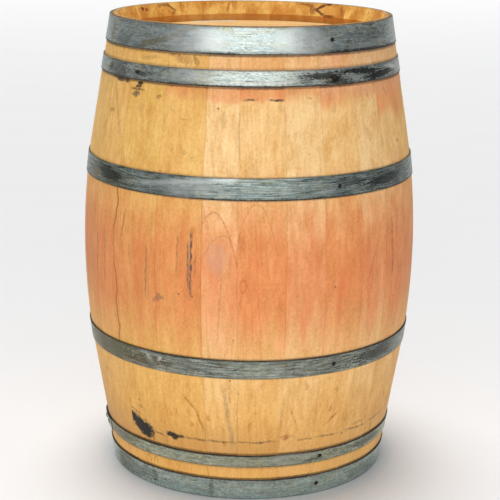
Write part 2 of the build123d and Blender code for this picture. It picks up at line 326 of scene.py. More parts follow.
def make_hoop(hoop):
    """A flared strap with rounded edges that goes once round and climbs over its own start."""
    low, high, lap_end = HOOPS[hoop][:3]
    seed = sum(ord(c) for c in hoop)
    lap = degrees(LAP_LENGTH / float(outer_radius((low + high) / 2)))
    begin = lap_end - lap - 360.0
    ramp = 2.6
    width = high - low
    azimuths = list(np.arange(begin, lap_end - lap - ramp, 1.5))
    azimuths += list(np.linspace(lap_end - lap - ramp, lap_end - lap + 0.2, 9))
    azimuths += list(np.linspace(lap_end - lap + 0.2, lap_end, 14)[1:])
    azimuths = np.array(azimuths)
    climb = np.clip((azimuths - (lap_end - lap - ramp)) / ramp, 0, 1)
    climb = climb * climb * (3 - 2 * climb) * (HOOP_THICKNESS + 0.00005)

    # The section: a goes across the strap from its lower edge, b through its thickness from the wood.
    e = 0.0005 / width
    across = [(e, 0.0), (0.5, 0.0), (1 - e, 0.0), (1 - 0.2 * e, 0.12), (1.0, 0.35), (1.0, 0.7)]
    across += [(1 - 0.3 * e, 0.93)]
    across += [(a, 1.0) for a in (1 - 1.2 * e, 0.85, 0.65, 0.5, 0.35, 0.15, 1.2 * e)]
    across += [(0.3 * e, 0.93), (0.0, 0.7), (0.0, 0.35), (0.2 * e, 0.12)]
    low_edge = wander(seed, 5, 0.5, 0.00045)
    high_edge = wander(seed + 1, 5, 0.45, 0.00045)
    swell = wander(seed + 2, 6, 0.4, 0.00012)
    slope = (hoop_radius(hoop, high) - hoop_radius(hoop, low)) / width
    lean = Vector((1.0, -slope)).normalized()
    points, grains = [], []
    for azimuth, lift in zip(azimuths, climb):
        girth = radians(azimuth) * float(outer_radius((low + high) / 2))
        bottom = low + max(0.0, float(low_edge(girth)))
        top = high + min(0.0, float(high_edge(girth)))
        a = radians(azimuth)
        ring, cloth = [], []
        for s, b in across:
            z = bottom + (top - bottom) * s
            out = lift + HOOP_THICKNESS * b + (float(swell(girth + 3 * s * width)) if b == 1.0 else 0.0)
            r = hoop_radius(hoop, z) + out * lean.x
            ring.append((r * sin(a), -r * cos(a), z + out * lean.y * (0.0 if low < 0.002 else 1.0)))
            cloth.append((girth, s, b))
        points.append(ring)
        grains.append(cloth)
    return sweep_mesh(hoop, np.array(points), np.array(grains))


def outward(azimuth, z, radius):
    """The frame of a place on the cask's surface: x along the girth, y up the stave and z outwards."""
    a = radians(azimuth)
    slope = float(outer_radius(z + 0.001) - outer_radius(z - 0.001)) / 0.002
    out = Vector((sin(a), -cos(a), -slope)).normalized()
    side = Vector((cos(a), sin(a), 0.0))
    up = out.cross(side)
    turn = Matrix((side, up, out)).transposed().to_4x4()
    return Matrix.Translation((radius * sin(a), -radius * cos(a), z)) @ turn


def turned(profile, segments, place, rng, rough):
    """Verts and faces of a profile of (radius, height) turned round a place's z axis, and roughened."""
    verts, faces = [], []
    push = [(rng.uniform(0, 2 * pi), rng.uniform(0, rough)) for _ in range(3)]
    for r, h in profile:
        for n in range(segments):
            t = 2 * pi * n / segments
            dent = 1.0 + sum(a * cos((k + 1) * t + p) for k, (p, a) in enumerate(push))
            high = h * (1.0 + rough * 0.8 * cos(t + push[0][0]) * r / 0.005)
            verts.append(place @ Vector((r * dent * cos(t), r * dent * sin(t), high)))
    rings = len(profile)
    for i in range(rings - 1):
        for n in range(segments):
            m = (n + 1) % segments
            a, b = i * segments, (i + 1) * segments
            faces.append((a + n, a + m, b + m, b + n))
    faces.append(tuple(range(segments - 1, -1, -1)))
    faces.append(tuple(range((rings - 1) * segments, rings * segments)))
    return verts, faces


def joined(name, shapes):
    verts, faces = [], []
    for v, f in shapes:
        start = len(verts)
        verts += [tuple(p) for p in v]
        faces += [tuple(i + start for i in face) for face in f]
    mesh = bpy.data.meshes.new(name)
    mesh.from_pydata(verts, [], faces)
    mesh.update()
    return mesh


def make_nails():
    """Square-shouldered hoop nails, their heads beaten flat and a little out of round."""
    rng = Random(5)
    shapes = []
    head = [(0.0012, -0.020), (0.0016, -0.016), (0.0016, -0.0001), (0.0040, 0.0), (0.0043, 0.0004)]
    head += [(0.0041, 0.0009), (0.0033, 0.0012), (0.0020, 0.00145), (0.0008, 0.0015)]
    for hoop, (low, high, _, _, azimuths) in HOOPS.items():
        z = (low + high) / 2
        for azimuth in azimuths:
            place = outward(azimuth, z, hoop_radius(hoop, z) + HOOP_THICKNESS)
            tilt_x = Matrix.Rotation(rng.uniform(-0.05, 0.05), 4, "X")
            tilt_y = Matrix.Rotation(rng.uniform(-0.05, 0.05), 4, "Y")
            shapes.append(turned(head, 20, place @ (tilt_x @ tilt_y), rng, 0.055))
    return joined("hoop_nails", shapes)


def make_rivets():
    """Domed rivet heads in a row along each lap, with a small set-down ring."""
    rng = Random(6)
    shapes = []
    dome = [(0.0029, -0.0034), (0.0029, -0.0001), (0.0058, 0.0), (0.0060, 0.0003), (0.0059, 0.0008)]
    dome += [(0.0053, 0.0014), (0.0043, 0.0020), (0.0029, 0.0024), (0.0012, 0.0026)]
    for hoop, (low, high, lap_end, count, _) in HOOPS.items():
        z = (low + high) / 2
        pitch = degrees(LAP_LENGTH / float(outer_radius(z))) / count
        for n in range(count):
            radius = hoop_radius(hoop, z) + 2 * HOOP_THICKNESS + 0.0001
            place = outward(lap_end - pitch * (n + 0.5), z, radius)
            shapes.append(turned(dome, 28, place, rng, 0.02))
    return joined("hoop_rivets", shapes)


def head_profile():
    """Half of a head's section as (radius, setback from the stave's end), from its outer face's middle."""
    rim_near = CROZE_TOP + HEAD_CLEARANCE
    rim_far = CROZE_TOP + CROZE_WIDTH - HEAD_CLEARANCE
    back = HEAD_SETBACK + HEAD_THICKNESS
    lip = float(inner_radius(CROZE_HEIGHT)) - 2 * HEAD_CLEARANCE
    path = [(0.0, HEAD_SETBACK), (0.06, HEAD_SETBACK), (0.12, HEAD_SETBACK), (0.18, HEAD_SETBACK)]
    path += [(lip - OUTER_BEVEL - 0.004, HEAD_SETBACK), (lip - OUTER_BEVEL, HEAD_SETBACK + 0.0003)]
    path += [(lip - OUTER_BEVEL * 0.5, (HEAD_SETBACK + rim_near) / 2 + 0.00015)]
    path += [(lip, rim_near), (HEAD_RADIUS - 0.0006, rim_near), (HEAD_RADIUS, rim_near + 0.0008)]
    path += [(HEAD_RADIUS, rim_far - 0.0008), (HEAD_RADIUS - 0.0006, rim_far), (lip, rim_far)]
    path += [(lip - INNER_BEVEL, back), (0.12, back), (0.0, back)]
    return path


def make_board(sign, number):
    """One head board: a slice of the turned head, its long edges eased, a little cupped and out of level."""
    rng = Random(300 + number + (50 if sign < 0 else 0))
    scale = 2 * HEAD_RADIUS / sum(BOARD_WIDTHS)
    low = -HEAD_RADIUS + scale * sum(BOARD_WIDTHS[:number])
    high = low + scale * BOARD_WIDTHS[number]
    bm = bmesh.new()
    segments = 240
    rings = []
    for r, setback in head_profile():
        z = MIDDLE + sign * (MIDDLE - setback)
        if r == 0.0:
            rings.append([bm.verts.new((0, 0, z))])
        else:
            turns = [2 * pi * n / segments for n in range(segments)]
            rings.append([bm.verts.new((r * cos(t), r * sin(t), z)) for t in turns])
    for inner, outer in zip(rings, rings[1:]):
        for n in range(segments):
            m = (n + 1) % segments
            corners = [inner[0]] if len(inner) == 1 else [inner[n], inner[m]]
            corners += [outer[0]] if len(outer) == 1 else [outer[m], outer[n]]
            bm.faces.new(corners if sign < 0 else corners[::-1])
    long_edges = []
    for y, side in ((low + RUSH / 2, -1), (high - RUSH / 2, 1)):
        if abs(y) > HEAD_RADIUS - 0.001:
            continue
        geometry = bm.verts[:] + bm.edges[:] + bm.faces[:]
        cut = bmesh.ops.bisect_plane(
            bm, geom=geometry, plane_co=(0, y, 0), plane_no=(0, side, 0), clear_outer=True, dist=1e-7
        )
        rim = [e for e in cut["geom_cut"] if isinstance(e, bmesh.types.BMEdge)]
        bmesh.ops.contextual_create(bm, geom=rim)
        for e in rim:
            flat = abs(e.verts[0].co.z - e.verts[1].co.z) < 1e-6 and abs(e.verts[0].co.y - y) < 1e-6
            if flat and min(hypot(v.co.x, v.co.y) for v in e.verts) < HEAD_RADIUS - 0.012:
                long_edges.append(e)
    long_edges = [e for e in long_edges if e.is_valid]
    bmesh.ops.bevel(bm, geom=long_edges, offset=0.0007, segments=2, profile=0.6, affect="EDGES")
    bmesh.ops.recalc_face_normals(bm, faces=bm.faces)
    name = f"{'top' if sign > 0 else 'bottom'}_head_board_{number + 1}"
    mesh = bpy.data.meshes.new(name)
    bm.to_mesh(mesh)
    bm.free()
    middle, half = (low + high) / 2, (high - low) / 2
    drop = -rng.uniform(0.0, 0.0005) * sign
    cup = rng.uniform(-0.00045, 0.0003) * sign
    values = np.zeros((len(mesh.vertices), 3))
    for v in mesh.vertices:
        r = hypot(v.co.x, v.co.y)
        loose = max(0.0, min(1.0, (HEAD_RADIUS - 0.02 - r) / 0.03))
        values[v.index] = (v.co.y - middle, v.co.x, abs(v.co.z - (MIDDLE + sign * (MIDDLE - HEAD_SETBACK))))
        v.co.z += loose * (drop + cup * ((v.co.y - middle) / half) ** 2)
    store_vectors(mesh, "grain", values)
    mesh.update()
    return name, mesh


def make_bung():
    """A turned plug, its outer rim rounded and bruised by the mallet."""
    rng = Random(9)
    place = Matrix.Translation((0, BILGE_RADIUS, MIDDLE)) @ Matrix.Rotation(radians(-90), 4, "X")
    inside = -(THICKNESS + BUNG_INSIDE)

    def radius(y):
        return BUNG_RADIUS - BUNG_CLEARANCE + BUNG_TAPER * y

    path = [(0.002, inside), (radius(inside) - 0.003, inside), (radius(inside) - 0.0008, inside + 0.0008)]
    path += [(radius(inside), inside + 0.0025)]
    path += [(radius(y), y) for y in (-0.025, -0.018, -0.010, -0.004, 0.0, 0.0025)]
    shoulder = radius(0.004)
    path += [(shoulder - 0.0002, 0.0036), (shoulder - 0.0009, 0.0045), (shoulder - 0.002, 0.0049)]
    path += [(s * (BUNG_RADIUS - 0.002), BUNG_PROUD) for s in (0.85, 0.6, 0.35, 0.12)]
    verts, faces = turned(path, 96, place, rng, 0.0)
    mesh = joined("bung", [(verts, faces)])
    local = place.inverted()
    values = np.zeros((len(mesh.vertices), 3))
    for v in mesh.vertices:
        p = local @ v.co
        values[v.index] = (p.x, p.y, BUNG_PROUD - p.z)
    store_vectors(mesh, "grain", values)
    return mesh


# ---------------------------------------------------------------- materials


def linear(r, g, b):
    """A colour of 0 to 255 sRGB as linear RGBA."""
    shares = [c / 255 for c in (r, g, b)]
    return tuple(c / 12.92 if c <= 0.04045 else ((c + 0.055) / 1.055) ** 2.4 for c in shares) + (1.0,)


class Tree:
    """A material whose nodes are written as calls on values."""

    def __init__(self, name):
        self.material = bpy.data.materials.new(name)
        self.material.use_nodes = True
        self.tree = self.material.node_tree
        self.tree.nodes.clear()

    def node(self, kind, inputs=(), output=0, **settings):
        """Makes a node, fills its inputs by name or in order, and gives back one of its outputs."""
        made = self.tree.nodes.new("ShaderNode" + kind)
        for key, value in settings.items():
            setattr(made, key, value)
        for key, value in inputs.items() if isinstance(inputs, dict) else enumerate(inputs):
            if isinstance(value, bpy.types.NodeSocket):
                self.tree.links.new(value, made.inputs[key])
            else:
                made.inputs[key].default_value = value
        return made.outputs[output]

    def math(self, operation, *values, clamp=False):
        return self.node("Math", values, operation=operation, use_clamp=clamp)

    def add(self, *values):
        return reduce(lambda a, b: self.math("ADD", a, b), values)

    def mul(self, *values):
        return reduce(lambda a, b: self.math("MULTIPLY", a, b), values)

    def sub(self, a, b):
        return self.math("SUBTRACT", a, b)

    def fma(self, a, b, c):
        """a times b plus c."""
        return self.math("MULTIPLY_ADD", a, b, c)

    def most(self, a, b):
        return self.math("MAXIMUM", a, b)

    def clamp(self, a):
        return self.math("ADD", a, 0.0, clamp=True)

    def absolute(self, a):
        return self.math("ABSOLUTE", a)

    def reach(self, x, y):
        """The length of (x, y)."""
        return self.math("SQRT", self.add(self.mul(x, x), self.mul(y, y)))

    def step(self, x, start, stop):
        """A smooth step from 0 at start to 1 at stop; start may be the higher one."""
        inputs = {"Value": x, "From Min": start, "From Max": stop}
        return self.node("MapRange", inputs, interpolation_type="SMOOTHSTEP")

    def vector(self, *xyz):
        return self.node("CombineXYZ", xyz)

    def parts(self, vector):
        return tuple(self.node("SeparateXYZ", (vector,)).node.outputs)

    def placed(self, vector, stretch, shift=(0.0, 0.0, 0.0)):
        return self.node("VectorMath", (vector, stretch, shift), operation="MULTIPLY_ADD")

    def noise(self, vector, stretch=None, shift=(0.0, 0.0, 0.0), scale=1.0, detail=2.0, roughness=0.5):
        """Noise over a vector, which may be stretched and shifted first."""
        if stretch is not None:
            vector = self.placed(vector, stretch, shift)
        inputs = {"Vector": vector, "Scale": scale, "Detail": detail, "Roughness": roughness}
        return self.node("TexNoise", inputs)

    def cells(self, vector, stretch, shift):
        """The distance to the nearest cell's seed, and that cell's three random numbers."""
        near = self.node("TexVoronoi", {"Vector": self.placed(vector, stretch, shift), "Scale": 1.0})
        return near, self.parts(near.node.outputs["Color"])

    def mix(self, share, a, b):
        return self.node("Mix", {0: share, 6: a, 7: b}, 2, data_type="RGBA")

    def gain(self, colour, amount):
        return self.node("VectorMath", {0: colour, "Scale": amount}, operation="SCALE")

    def tint(self, colour, weights):
        return self.node("VectorMath", (colour, weights), operation="MULTIPLY")

    def vary(self, colour, amount):
        """The colour made lighter or darker by a share; the blue follows most and the red least."""
        return self.tint(colour, self.placed(amount, (0.62, 1.15, 2.1), (1.0, 1.0, 1.0)))

    def attribute(self, name):
        return self.node("Attribute", output="Vector", attribute_name=name)

    def place(self):
        return self.node("TexCoord", output="Object")

    def line(self, x, y, start, stop, half, soft, sway):
        """A mask along a line from start to stop, all in metres, half wide with soft edges; sway bends it."""
        (x1, y1), (x2, y2) = start, stop
        length = hypot(x2 - x1, y2 - y1)
        dx, dy = (x2 - x1) / length, (y2 - y1) / length
        along = self.add(self.mul(self.sub(x, x1), dx), self.mul(self.sub(y, y1), dy))
        across = self.sub(self.mul(self.sub(y, y1), dx), self.mul(self.sub(x, x1), dy))
        side = self.step(self.absolute(self.add(across, sway)), half + soft, half)
        taper = min(0.3 * length, 0.012)
        ends = self.step(along, -taper, taper), self.step(along, length + taper, length - taper)
        return self.mul(side, *ends)

    def ellipse(self, x, y, centre, size, turn):
        """0 at the centre of an ellipse and 1 on its outline: half sizes in metres, turned by degrees."""
        c, s = cos(radians(turn)), sin(radians(turn))
        px, py = self.sub(x, centre[0]), self.sub(y, centre[1])
        along = self.add(self.mul(px, c / size[0]), self.mul(py, s / size[0]))
        across = self.add(self.mul(px, -s / size[1]), self.mul(py, c / size[1]))
        return self.reach(along, across)

    def blob(self, reach, ragged):
        """A mask inside an ellipse, with ragged edges."""
        return self.step(self.add(reach, ragged), 1.25, 0.65)

    def loop(self, reach, least, half, sway):
        """A mask along an ellipse's outline, whose smaller half size is least: a knot's or a swirl's ring."""
        off = self.absolute(self.add(reach, self.mul(sway, 1 / least), -1.0))
        return self.step(off, 2.2 * half / least, 0.6 * half / least)

    def arch(self, x, y, apex, curl, foot, half, sway):
        """A mask along an arch that opens downwards from its apex to its foot: a flat-sawn board's flame."""
        px = self.sub(x, apex[0])
        drop = self.add(self.sub(y, apex[1]), self.mul(px, px, curl), self.mul(sway, 2.0))
        steep = self.math("SQRT", self.fma(self.mul(px, px), 4 * curl * curl, 1.0))
        off = self.absolute(self.math("DIVIDE", drop, steep))
        return self.mul(self.step(off, 2.0 * half, 0.5 * half), self.step(y, foot - 0.01, foot + 0.02))

    def mark(self, x, y, at, kind, where, soft, sway, ragged):
        """The mask of a mark in the tables: where holds its place, which at puts in metres, and its sizes."""
        place, sizes = at(*where[:2]), [n / 1000 for n in where[2:]]
        if kind == "line":
            return self.line(x, y, place, at(*where[2:4]), sizes[2], soft, sway)
        if kind == "arch":
            return self.arch(x, y, place, where[2], sizes[1], sizes[2], sway)
        reach = self.ellipse(x, y, place, sizes[:2], where[4])
        if kind == "loop":
            return self.loop(reach, min(sizes[:2]), sizes[3], sway)
        return self.blob(reach, ragged)

    def finish(self, colour, roughness, height=None, metallic=0.0, specular=0.5):
        inputs = {"Base Color": colour, "Roughness": roughness, "Metallic": metallic}
        inputs["Specular IOR Level"] = specular
        if height is not None:
            inputs["Normal"] = self.node("Bump", {"Distance": 1.0, "Height": height})
        shader = self.node("BsdfPrincipled", inputs)
        out = self.tree.nodes.new("ShaderNodeOutputMaterial")
        self.tree.links.new(shader, out.inputs[0])
        return self.material


def wood_structure(t, grain, seed, pith, cone, spacing, knots=()):
    """Growth rings, streaks, pores and flecks of oak.

    grain is a vector of the place across, along and into the wood in metres, pith how far to the side of and
    behind the face the tree's heart lies, cone how fast the rings taper along the board, and each knot is
    (across, along, radius, strength)."""
    shift = (seed * 3.17, seed * 1.31, seed * 2.23)
    g = SimpleNamespace()
    g.u, g.v, g.w = t.parts(grain)
    meander = t.noise(grain, (8.0, 1.3, 8.0), shift)
    quiver = t.noise(grain, (70.0, 8.0, 70.0), shift)
    side = t.add(t.sub(g.u, pith[0]), t.fma(meander, 0.02, -0.01))
    heart = t.reach(side, t.add(g.w, pith[1]))
    phase = t.mul(t.sub(heart, t.mul(g.v, cone)), 1.0 / spacing)
    phase = t.add(phase, t.mul(quiver, 0.9))
    for across, along, radius, strength in knots:
        dx = t.mul(t.sub(g.u, across), 1.0 / radius)
        dy = t.mul(t.sub(g.v, along), 0.45 / radius)
        bump = t.math("EXPONENT", t.mul(t.add(t.mul(dx, dx), t.mul(dy, dy)), -1.0))
        phase = t.add(phase, t.mul(bump, strength))
    share = t.math("FRACT", phase)
    band = t.noise(t.vector(t.mul(phase, 0.7), seed, 0.0), detail=0.0)
    g.ring = t.mul(t.step(share, 0.0, 0.15), t.step(share, 0.75, 0.15), t.fma(band, 1.5, -0.2))
    g.fine = t.noise(grain, (290.0, 170.0, 290.0), shift, detail=3.0, roughness=0.6)
    g.middle = t.noise(grain, (120.0, 24.0, 120.0), shift, detail=3.0)
    g.broad = t.noise(grain, (42.0, 2.6, 42.0), shift, detail=3.0)
    g.mottle = t.noise(grain, (26.0, 15.0, 26.0), shift, detail=4.0, roughness=0.6)
    pore = t.step(t.noise(grain, (1900.0, 130.0, 1900.0), shift, detail=0.0), 0.63, 0.74)
    g.pore = t.mul(pore, t.fma(g.ring, 0.8, 0.2))
    g.fleck = t.step(t.noise(grain, (210.0, 36.0, 500.0), shift, detail=1.0), 0.66, 0.76)
    return g


def shaded(t, colour, g, rings=0.10, streaks=0.44):
    """The wood's colour with its rings, streaks, pores and flecks laid over it."""
    amount = t.add(
        rings * 0.35,
        t.mul(t.sub(g.fine, 0.5), streaks * 1.3),
        t.mul(t.sub(g.middle, 0.5), streaks * 1.0),
        t.mul(t.sub(g.mottle, 0.5), streaks * 1.5),
        t.mul(g.ring, -rings),
        t.mul(g.fleck, 0.05),
        t.mul(g.pore, -0.20),
    )
    return t.vary(colour, amount)


def wood_height(t, g):
    """Relief of the wood's face in metres."""
    depths = ((g.fine, 6e-5), (g.middle, 1e-4), (g.mottle, 2.2e-4), (g.pore, -1.6e-4), (g.ring, -4e-5))
    return t.add(*[t.mul(pattern, depth) for pattern, depth in depths])


# Two tones of bare oak: (yellow, pink) as sRGB.
PALE = ((254, 208, 142), (242, 153, 93))
HONEY = ((250, 199, 128), (238, 146, 82))
AMBER = ((247, 192, 108), (235, 140, 77))
GOLD = ((245, 192, 104), (233, 149, 81))

# The look of each stave: tones, brightness, pinkness of its middle, lower end of the pink band under the
# top quarter hoop (0 for none), and pith (side, behind), cone and ring spacing of its grain.
LOOKS = [
    (GOLD, 1.00, 0.95, 0.0, (0.21, 0.02), 0.010, 0.0034),
    (AMBER, 1.00, 0.86, 0.822, (-0.18, 0.03), 0.012, 0.0038),
    (PALE, 1.02, 0.85, 0.812, (0.004, 0.045), 0.034, 0.0046),
    (HONEY, 1.01, 1.00, 0.816, (0.030, 0.055), 0.030, 0.0044),
    (PALE, 1.00, 0.95, 0.820, (0.24, 0.02), 0.008, 0.0031),
    (HONEY, 1.00, 1.00, 0.806, (-0.20, 0.02), 0.012, 0.0036),
    (PALE, 0.97, 1.05, 0.812, (0.15, 0.03), 0.014, 0.0034),
    (HONEY, 0.97, 1.00, 0.775, (-0.22, 0.02), 0.010, 0.0034),
    (AMBER, 0.97, 0.90, 0.760, (0.20, 0.03), 0.010, 0.0038),
]
TONES = (PALE, HONEY, AMBER, GOLD)


def stave_look(number):
    if number < len(LOOKS):
        return LOOKS[number]
    if number == 25:
        return (AMBER, 0.99, 0.88, 0.0, (0.19, 0.03), 0.012, 0.0036)
    if number == 24:
        return (GOLD, 0.97, 1.1, 0.0, (-0.2, 0.03), 0.012, 0.0036)
    rng = Random(500 + number)
    pith = (rng.choice((-1, 1)) * rng.uniform(0.1, 0.25), rng.uniform(0.02, 0.05))
    if rng.random() < 0.25:
        pith = (rng.uniform(-0.02, 0.02), rng.uniform(0.04, 0.06))
    band = rng.choice((0.0, 0.808, 0.818, 0.826))
    return (rng.choice(TONES), rng.uniform(0.96, 1.03), rng.uniform(0.7, 1.0), band, pith,
            rng.uniform(0.008, 0.03), rng.uniform(0.003, 0.0044))


def across_at(number, azimuth, z):
    """How far across its stave an azimuth lies, in metres."""
    centre = (JOINTS[number] + JOINTS[number + 1]) / 2
    if number >= 20 and azimuth < 0:
        azimuth += 360
    return radians(azimuth - centre) * float(outer_radius(z))


# The colours of the marks.
CINNAMON = linear(150, 88, 40)
STRAW = linear(172, 116, 54)
BARK = linear(120, 82, 42)
HAZEL = linear(130, 84, 44)
TAWNY = linear(168, 104, 46)
DUN = linear(160, 138, 106)
ROSE = linear(216, 172, 150)
FAWN = linear(176, 120, 62)
BRICK = linear(150, 80, 50)
MOSS = linear(84, 82, 54)
LICHEN = linear(88, 82, 50)
MUD = linear(90, 66, 40)
KHAKI = linear(96, 90, 56)
SAGE = linear(112, 104, 70)
MAROON = linear(96, 36, 24)
COPPER = linear(140, 70, 26)
NUT = linear(132, 66, 26)
FRESH = linear(255, 198, 104)
MAHOGANY = linear(110, 48, 24)
CARAMEL = linear(150, 84, 34)
RUSSET = linear(118, 60, 26)
WINE = linear(120, 26, 18)
BROWN = linear(120, 74, 40)
UMBER = linear(84, 52, 30)
SLATE = linear(80, 74, 72)
BLACK = linear(26, 22, 18)
EMBER = linear(206, 104, 52)
RUST = linear(176, 92, 34)
OIL = linear(30, 30, 28)
OLIVE = linear(128, 112, 60)
# Pale zinc: scuffs, and painted highlight on the hoops.
SCUFF_AND_GLINT = linear(222, 226, 224)

# Marks on the staves in front, by stave: kind, colour, strength and azimuth, z in degrees and millimetres.
# Then a line has its other end and half width, a blob its half sizes and turn, a loop the same and its half
# width, and an arch its curl, its foot's z and its half width.
MARKS = {
    0: [
        ("line", BROWN, 0.60, -45.0, 590, -46.6, 532, 0.7),
        ("line", SLATE, 0.55, -35.2, 520, -35.6, 425, 1.0),
        ("line", SLATE, 0.30, -43.0, 520, -42.2, 490, 1.4), ("blob", BLACK, 0.98, -44.4, 133, 36, 15, -34),
        ("blob", BLACK, 0.98, -41.9, 127, 22, 18, -10), ("blob", BLACK, 0.98, -43.6, 130, 16, 13, -20),
        ("blob", BLACK, 0.95, -47.4, 145, 20, 8, -40), ("line", BLACK, 0.55, -40.0, 128, -32.5, 125, 1.6),
        ("line", UMBER, 0.60, -48.8, 166, -44.0, 158, 1.2), ("blob", UMBER, 0.45, -43.0, 176, 8, 3, -20),
        ("blob", UMBER, 0.40, -43.4, 190, 6, 2.5, -10), ("line", BLACK, 0.95, -48.0, 822, -42.0, 821, 1.3),
        ("blob", BLACK, 0.95, -43.8, 833, 8, 4, 8), ("blob", BLACK, 0.85, -44.4, 827, 9, 3, 4),
        ("blob", SLATE, 0.90, -45.4, 812, 10, 6, 2), ("blob", BROWN, 0.60, -34.4, 812, 7, 4, 20),
        ("arch", CINNAMON, 0.75, -42.5, 67, 260, 48, 0.9),
        ("arch", CINNAMON, 0.75, -38.6, 68, 420, 46, 0.9), ("blob", UMBER, 0.30, -40.0, 884, 20, 4, 6),
        ("blob", SLATE, 0.45, -31.9, 420, 5, 6, 20),
    ],
    1: [
        ("line", SLATE, 0.95, -18.5, 565, -18.9, 440, 1.8),
        ("line", SLATE, 0.75, -19.8, 540, -19.6, 455, 1.2),
        ("line", SLATE, 0.45, -17.2, 520, -17.4, 480, 1.2),
        ("line", SLATE, 0.45, -23.3, 560, -23.6, 480, 0.8), ("blob", SLATE, 0.50, -30.2, 426, 9, 8, 10),
        ("line", BROWN, 0.40, -25.2, 778, -23.9, 774, 0.5),
        ("line", BROWN, 0.40, -23.9, 774, -21.9, 775, 0.5), ("blob", STRAW, 0.60, -24.5, 886, 20, 10, -10),
        ("blob", BARK, 0.55, -20.0, 884, 4, 12, 24), ("blob", HAZEL, 0.45, -29.0, 893, 14, 4, 0),
        ("line", TAWNY, 0.65, -22.9, 224, -18.6, 196, 1.4),
        ("line", TAWNY, 0.70, -18.6, 196, -15.8, 152, 1.6), ("blob", BLACK, 0.95, -30.0, 132, 9, 6, 10),
        ("blob", BLACK, 0.95, -28.0, 128, 8, 8, 0), ("blob", BLACK, 0.80, -25.8, 130, 10, 4, 0),
        ("line", UMBER, 0.80, -23.0, 130, -15.4, 129, 1.5),
        ("line", UMBER, 0.35, -20.0, 704, -18.6, 704, 1.0), ("blob", BROWN, 0.35, -22.4, 713, 6, 5, 0),
    ],
    2: [
        ("line", DUN, 0.50, -8.2, 250, -5.2, 122, 3.2), ("line", UMBER, 0.75, -14.6, 130, -4.4, 129, 1.4),
        ("line", BROWN, 0.30, -8.6, 470, -10.2, 340, 0.8), ("arch", EMBER, 0.60, -11.4, 603, 46, 480, 1.3),
        ("arch", EMBER, 0.40, -8.2, 560, 30, 470, 1.0), ("blob", ROSE, 0.40, -10.0, 515, 22, 34, 0),
        ("line", UMBER, 0.55, -4.6, 835, -3.8, 834, 1.0),
    ],
    3: [
        ("line", UMBER, 0.90, -2.2, 815, 2.0, 816, 1.0), ("line", BLACK, 0.95, 6.8, 815, 11.6, 814, 1.3),
        ("line", UMBER, 0.80, 2.2, 129, 9.6, 131, 1.7), ("line", UMBER, 0.55, -3.4, 131, 1.4, 130, 0.9),
        ("loop", EMBER, 0.55, -1.7, 462, 6, 12, 0, 1.0), ("blob", EMBER, 0.45, -2.2, 545, 7, 16, 8),
        ("line", EMBER, 0.60, -2.2, 446, -2.8, 410, 1.5), ("arch", EMBER, 0.40, 2.4, 622, 60, 530, 1.1),
    ],
    4: [
        ("line", FAWN, 0.50, 13.0, 222, 12.4, 160, 1.3), ("line", FAWN, 0.45, 15.4, 206, 18.2, 160, 1.1),
        ("blob", RUST, 0.75, 14.2, 138, 9, 6, 0), ("line", UMBER, 0.70, 19.6, 130, 25.0, 129, 1.3),
        ("line", UMBER, 0.45, 20.2, 816, 22.0, 816, 0.8),
    ],
    5: [
        ("line", RUST, 0.75, 30.6, 158, 34.8, 178, 2.0), ("line", UMBER, 0.65, 27.4, 131, 36.0, 129, 1.2),
    ],
    6: [
        ("line", UMBER, 0.70, 40.8, 131, 51.4, 128, 1.3), ("line", UMBER, 0.45, 44.0, 140, 50.0, 141, 1.0),
        ("line", EMBER, 0.55, 46.5, 822, 47.5, 806, 1.2), ("blob", EMBER, 0.50, 34.5, 575, 9, 7, 0),
        ("line", EMBER, 0.50, 47.0, 520, 43.0, 455, 1.6),
    ],
    7: [
        ("line", UMBER, 0.60, 63.2, 713, 65.0, 712, 1.4), ("line", EMBER, 0.55, 57.0, 826, 60.5, 800, 1.6),
        ("line", EMBER, 0.45, 60.5, 824, 60.2, 806, 1.2), ("line", BRICK, 0.50, 55.5, 565, 56.5, 450, 3.2),
        ("line", EMBER, 0.40, 60.0, 585, 58.0, 520, 2.4), ("line", UMBER, 0.60, 54.0, 132, 63.5, 134, 1.2),
    ],
    25: [
        ("line", SLATE, 0.55, -61.8, 545, -61.9, 455, 1.3),
        ("line", SLATE, 0.35, -56.4, 540, -56.6, 430, 1.6),
        ("line", BROWN, 0.30, -59.6, 832, -52.0, 728, 3.0), ("blob", BROWN, 0.45, -59.4, 772, 10, 4, 5),
        ("blob", BLACK, 0.80, -56.0, 834, 16, 5, 0), ("blob", BLACK, 0.75, -51.5, 835, 9, 6, 0),
    ],
}

# Knots by stave, each (across, along, radius, strength).
KNOTS = {
    2: ((0.033, 0.452, 0.012, 2.2), (-0.004, 0.560, 0.035, 2.0)),
    3: ((-0.036, 0.452, 0.013, 2.6),),
    0: ((-0.020, 0.059, 0.010, 1.6), (0.018, 0.057, 0.008, 1.2)),
    5: ((0.006, 0.215, 0.012, 1.8),),
}

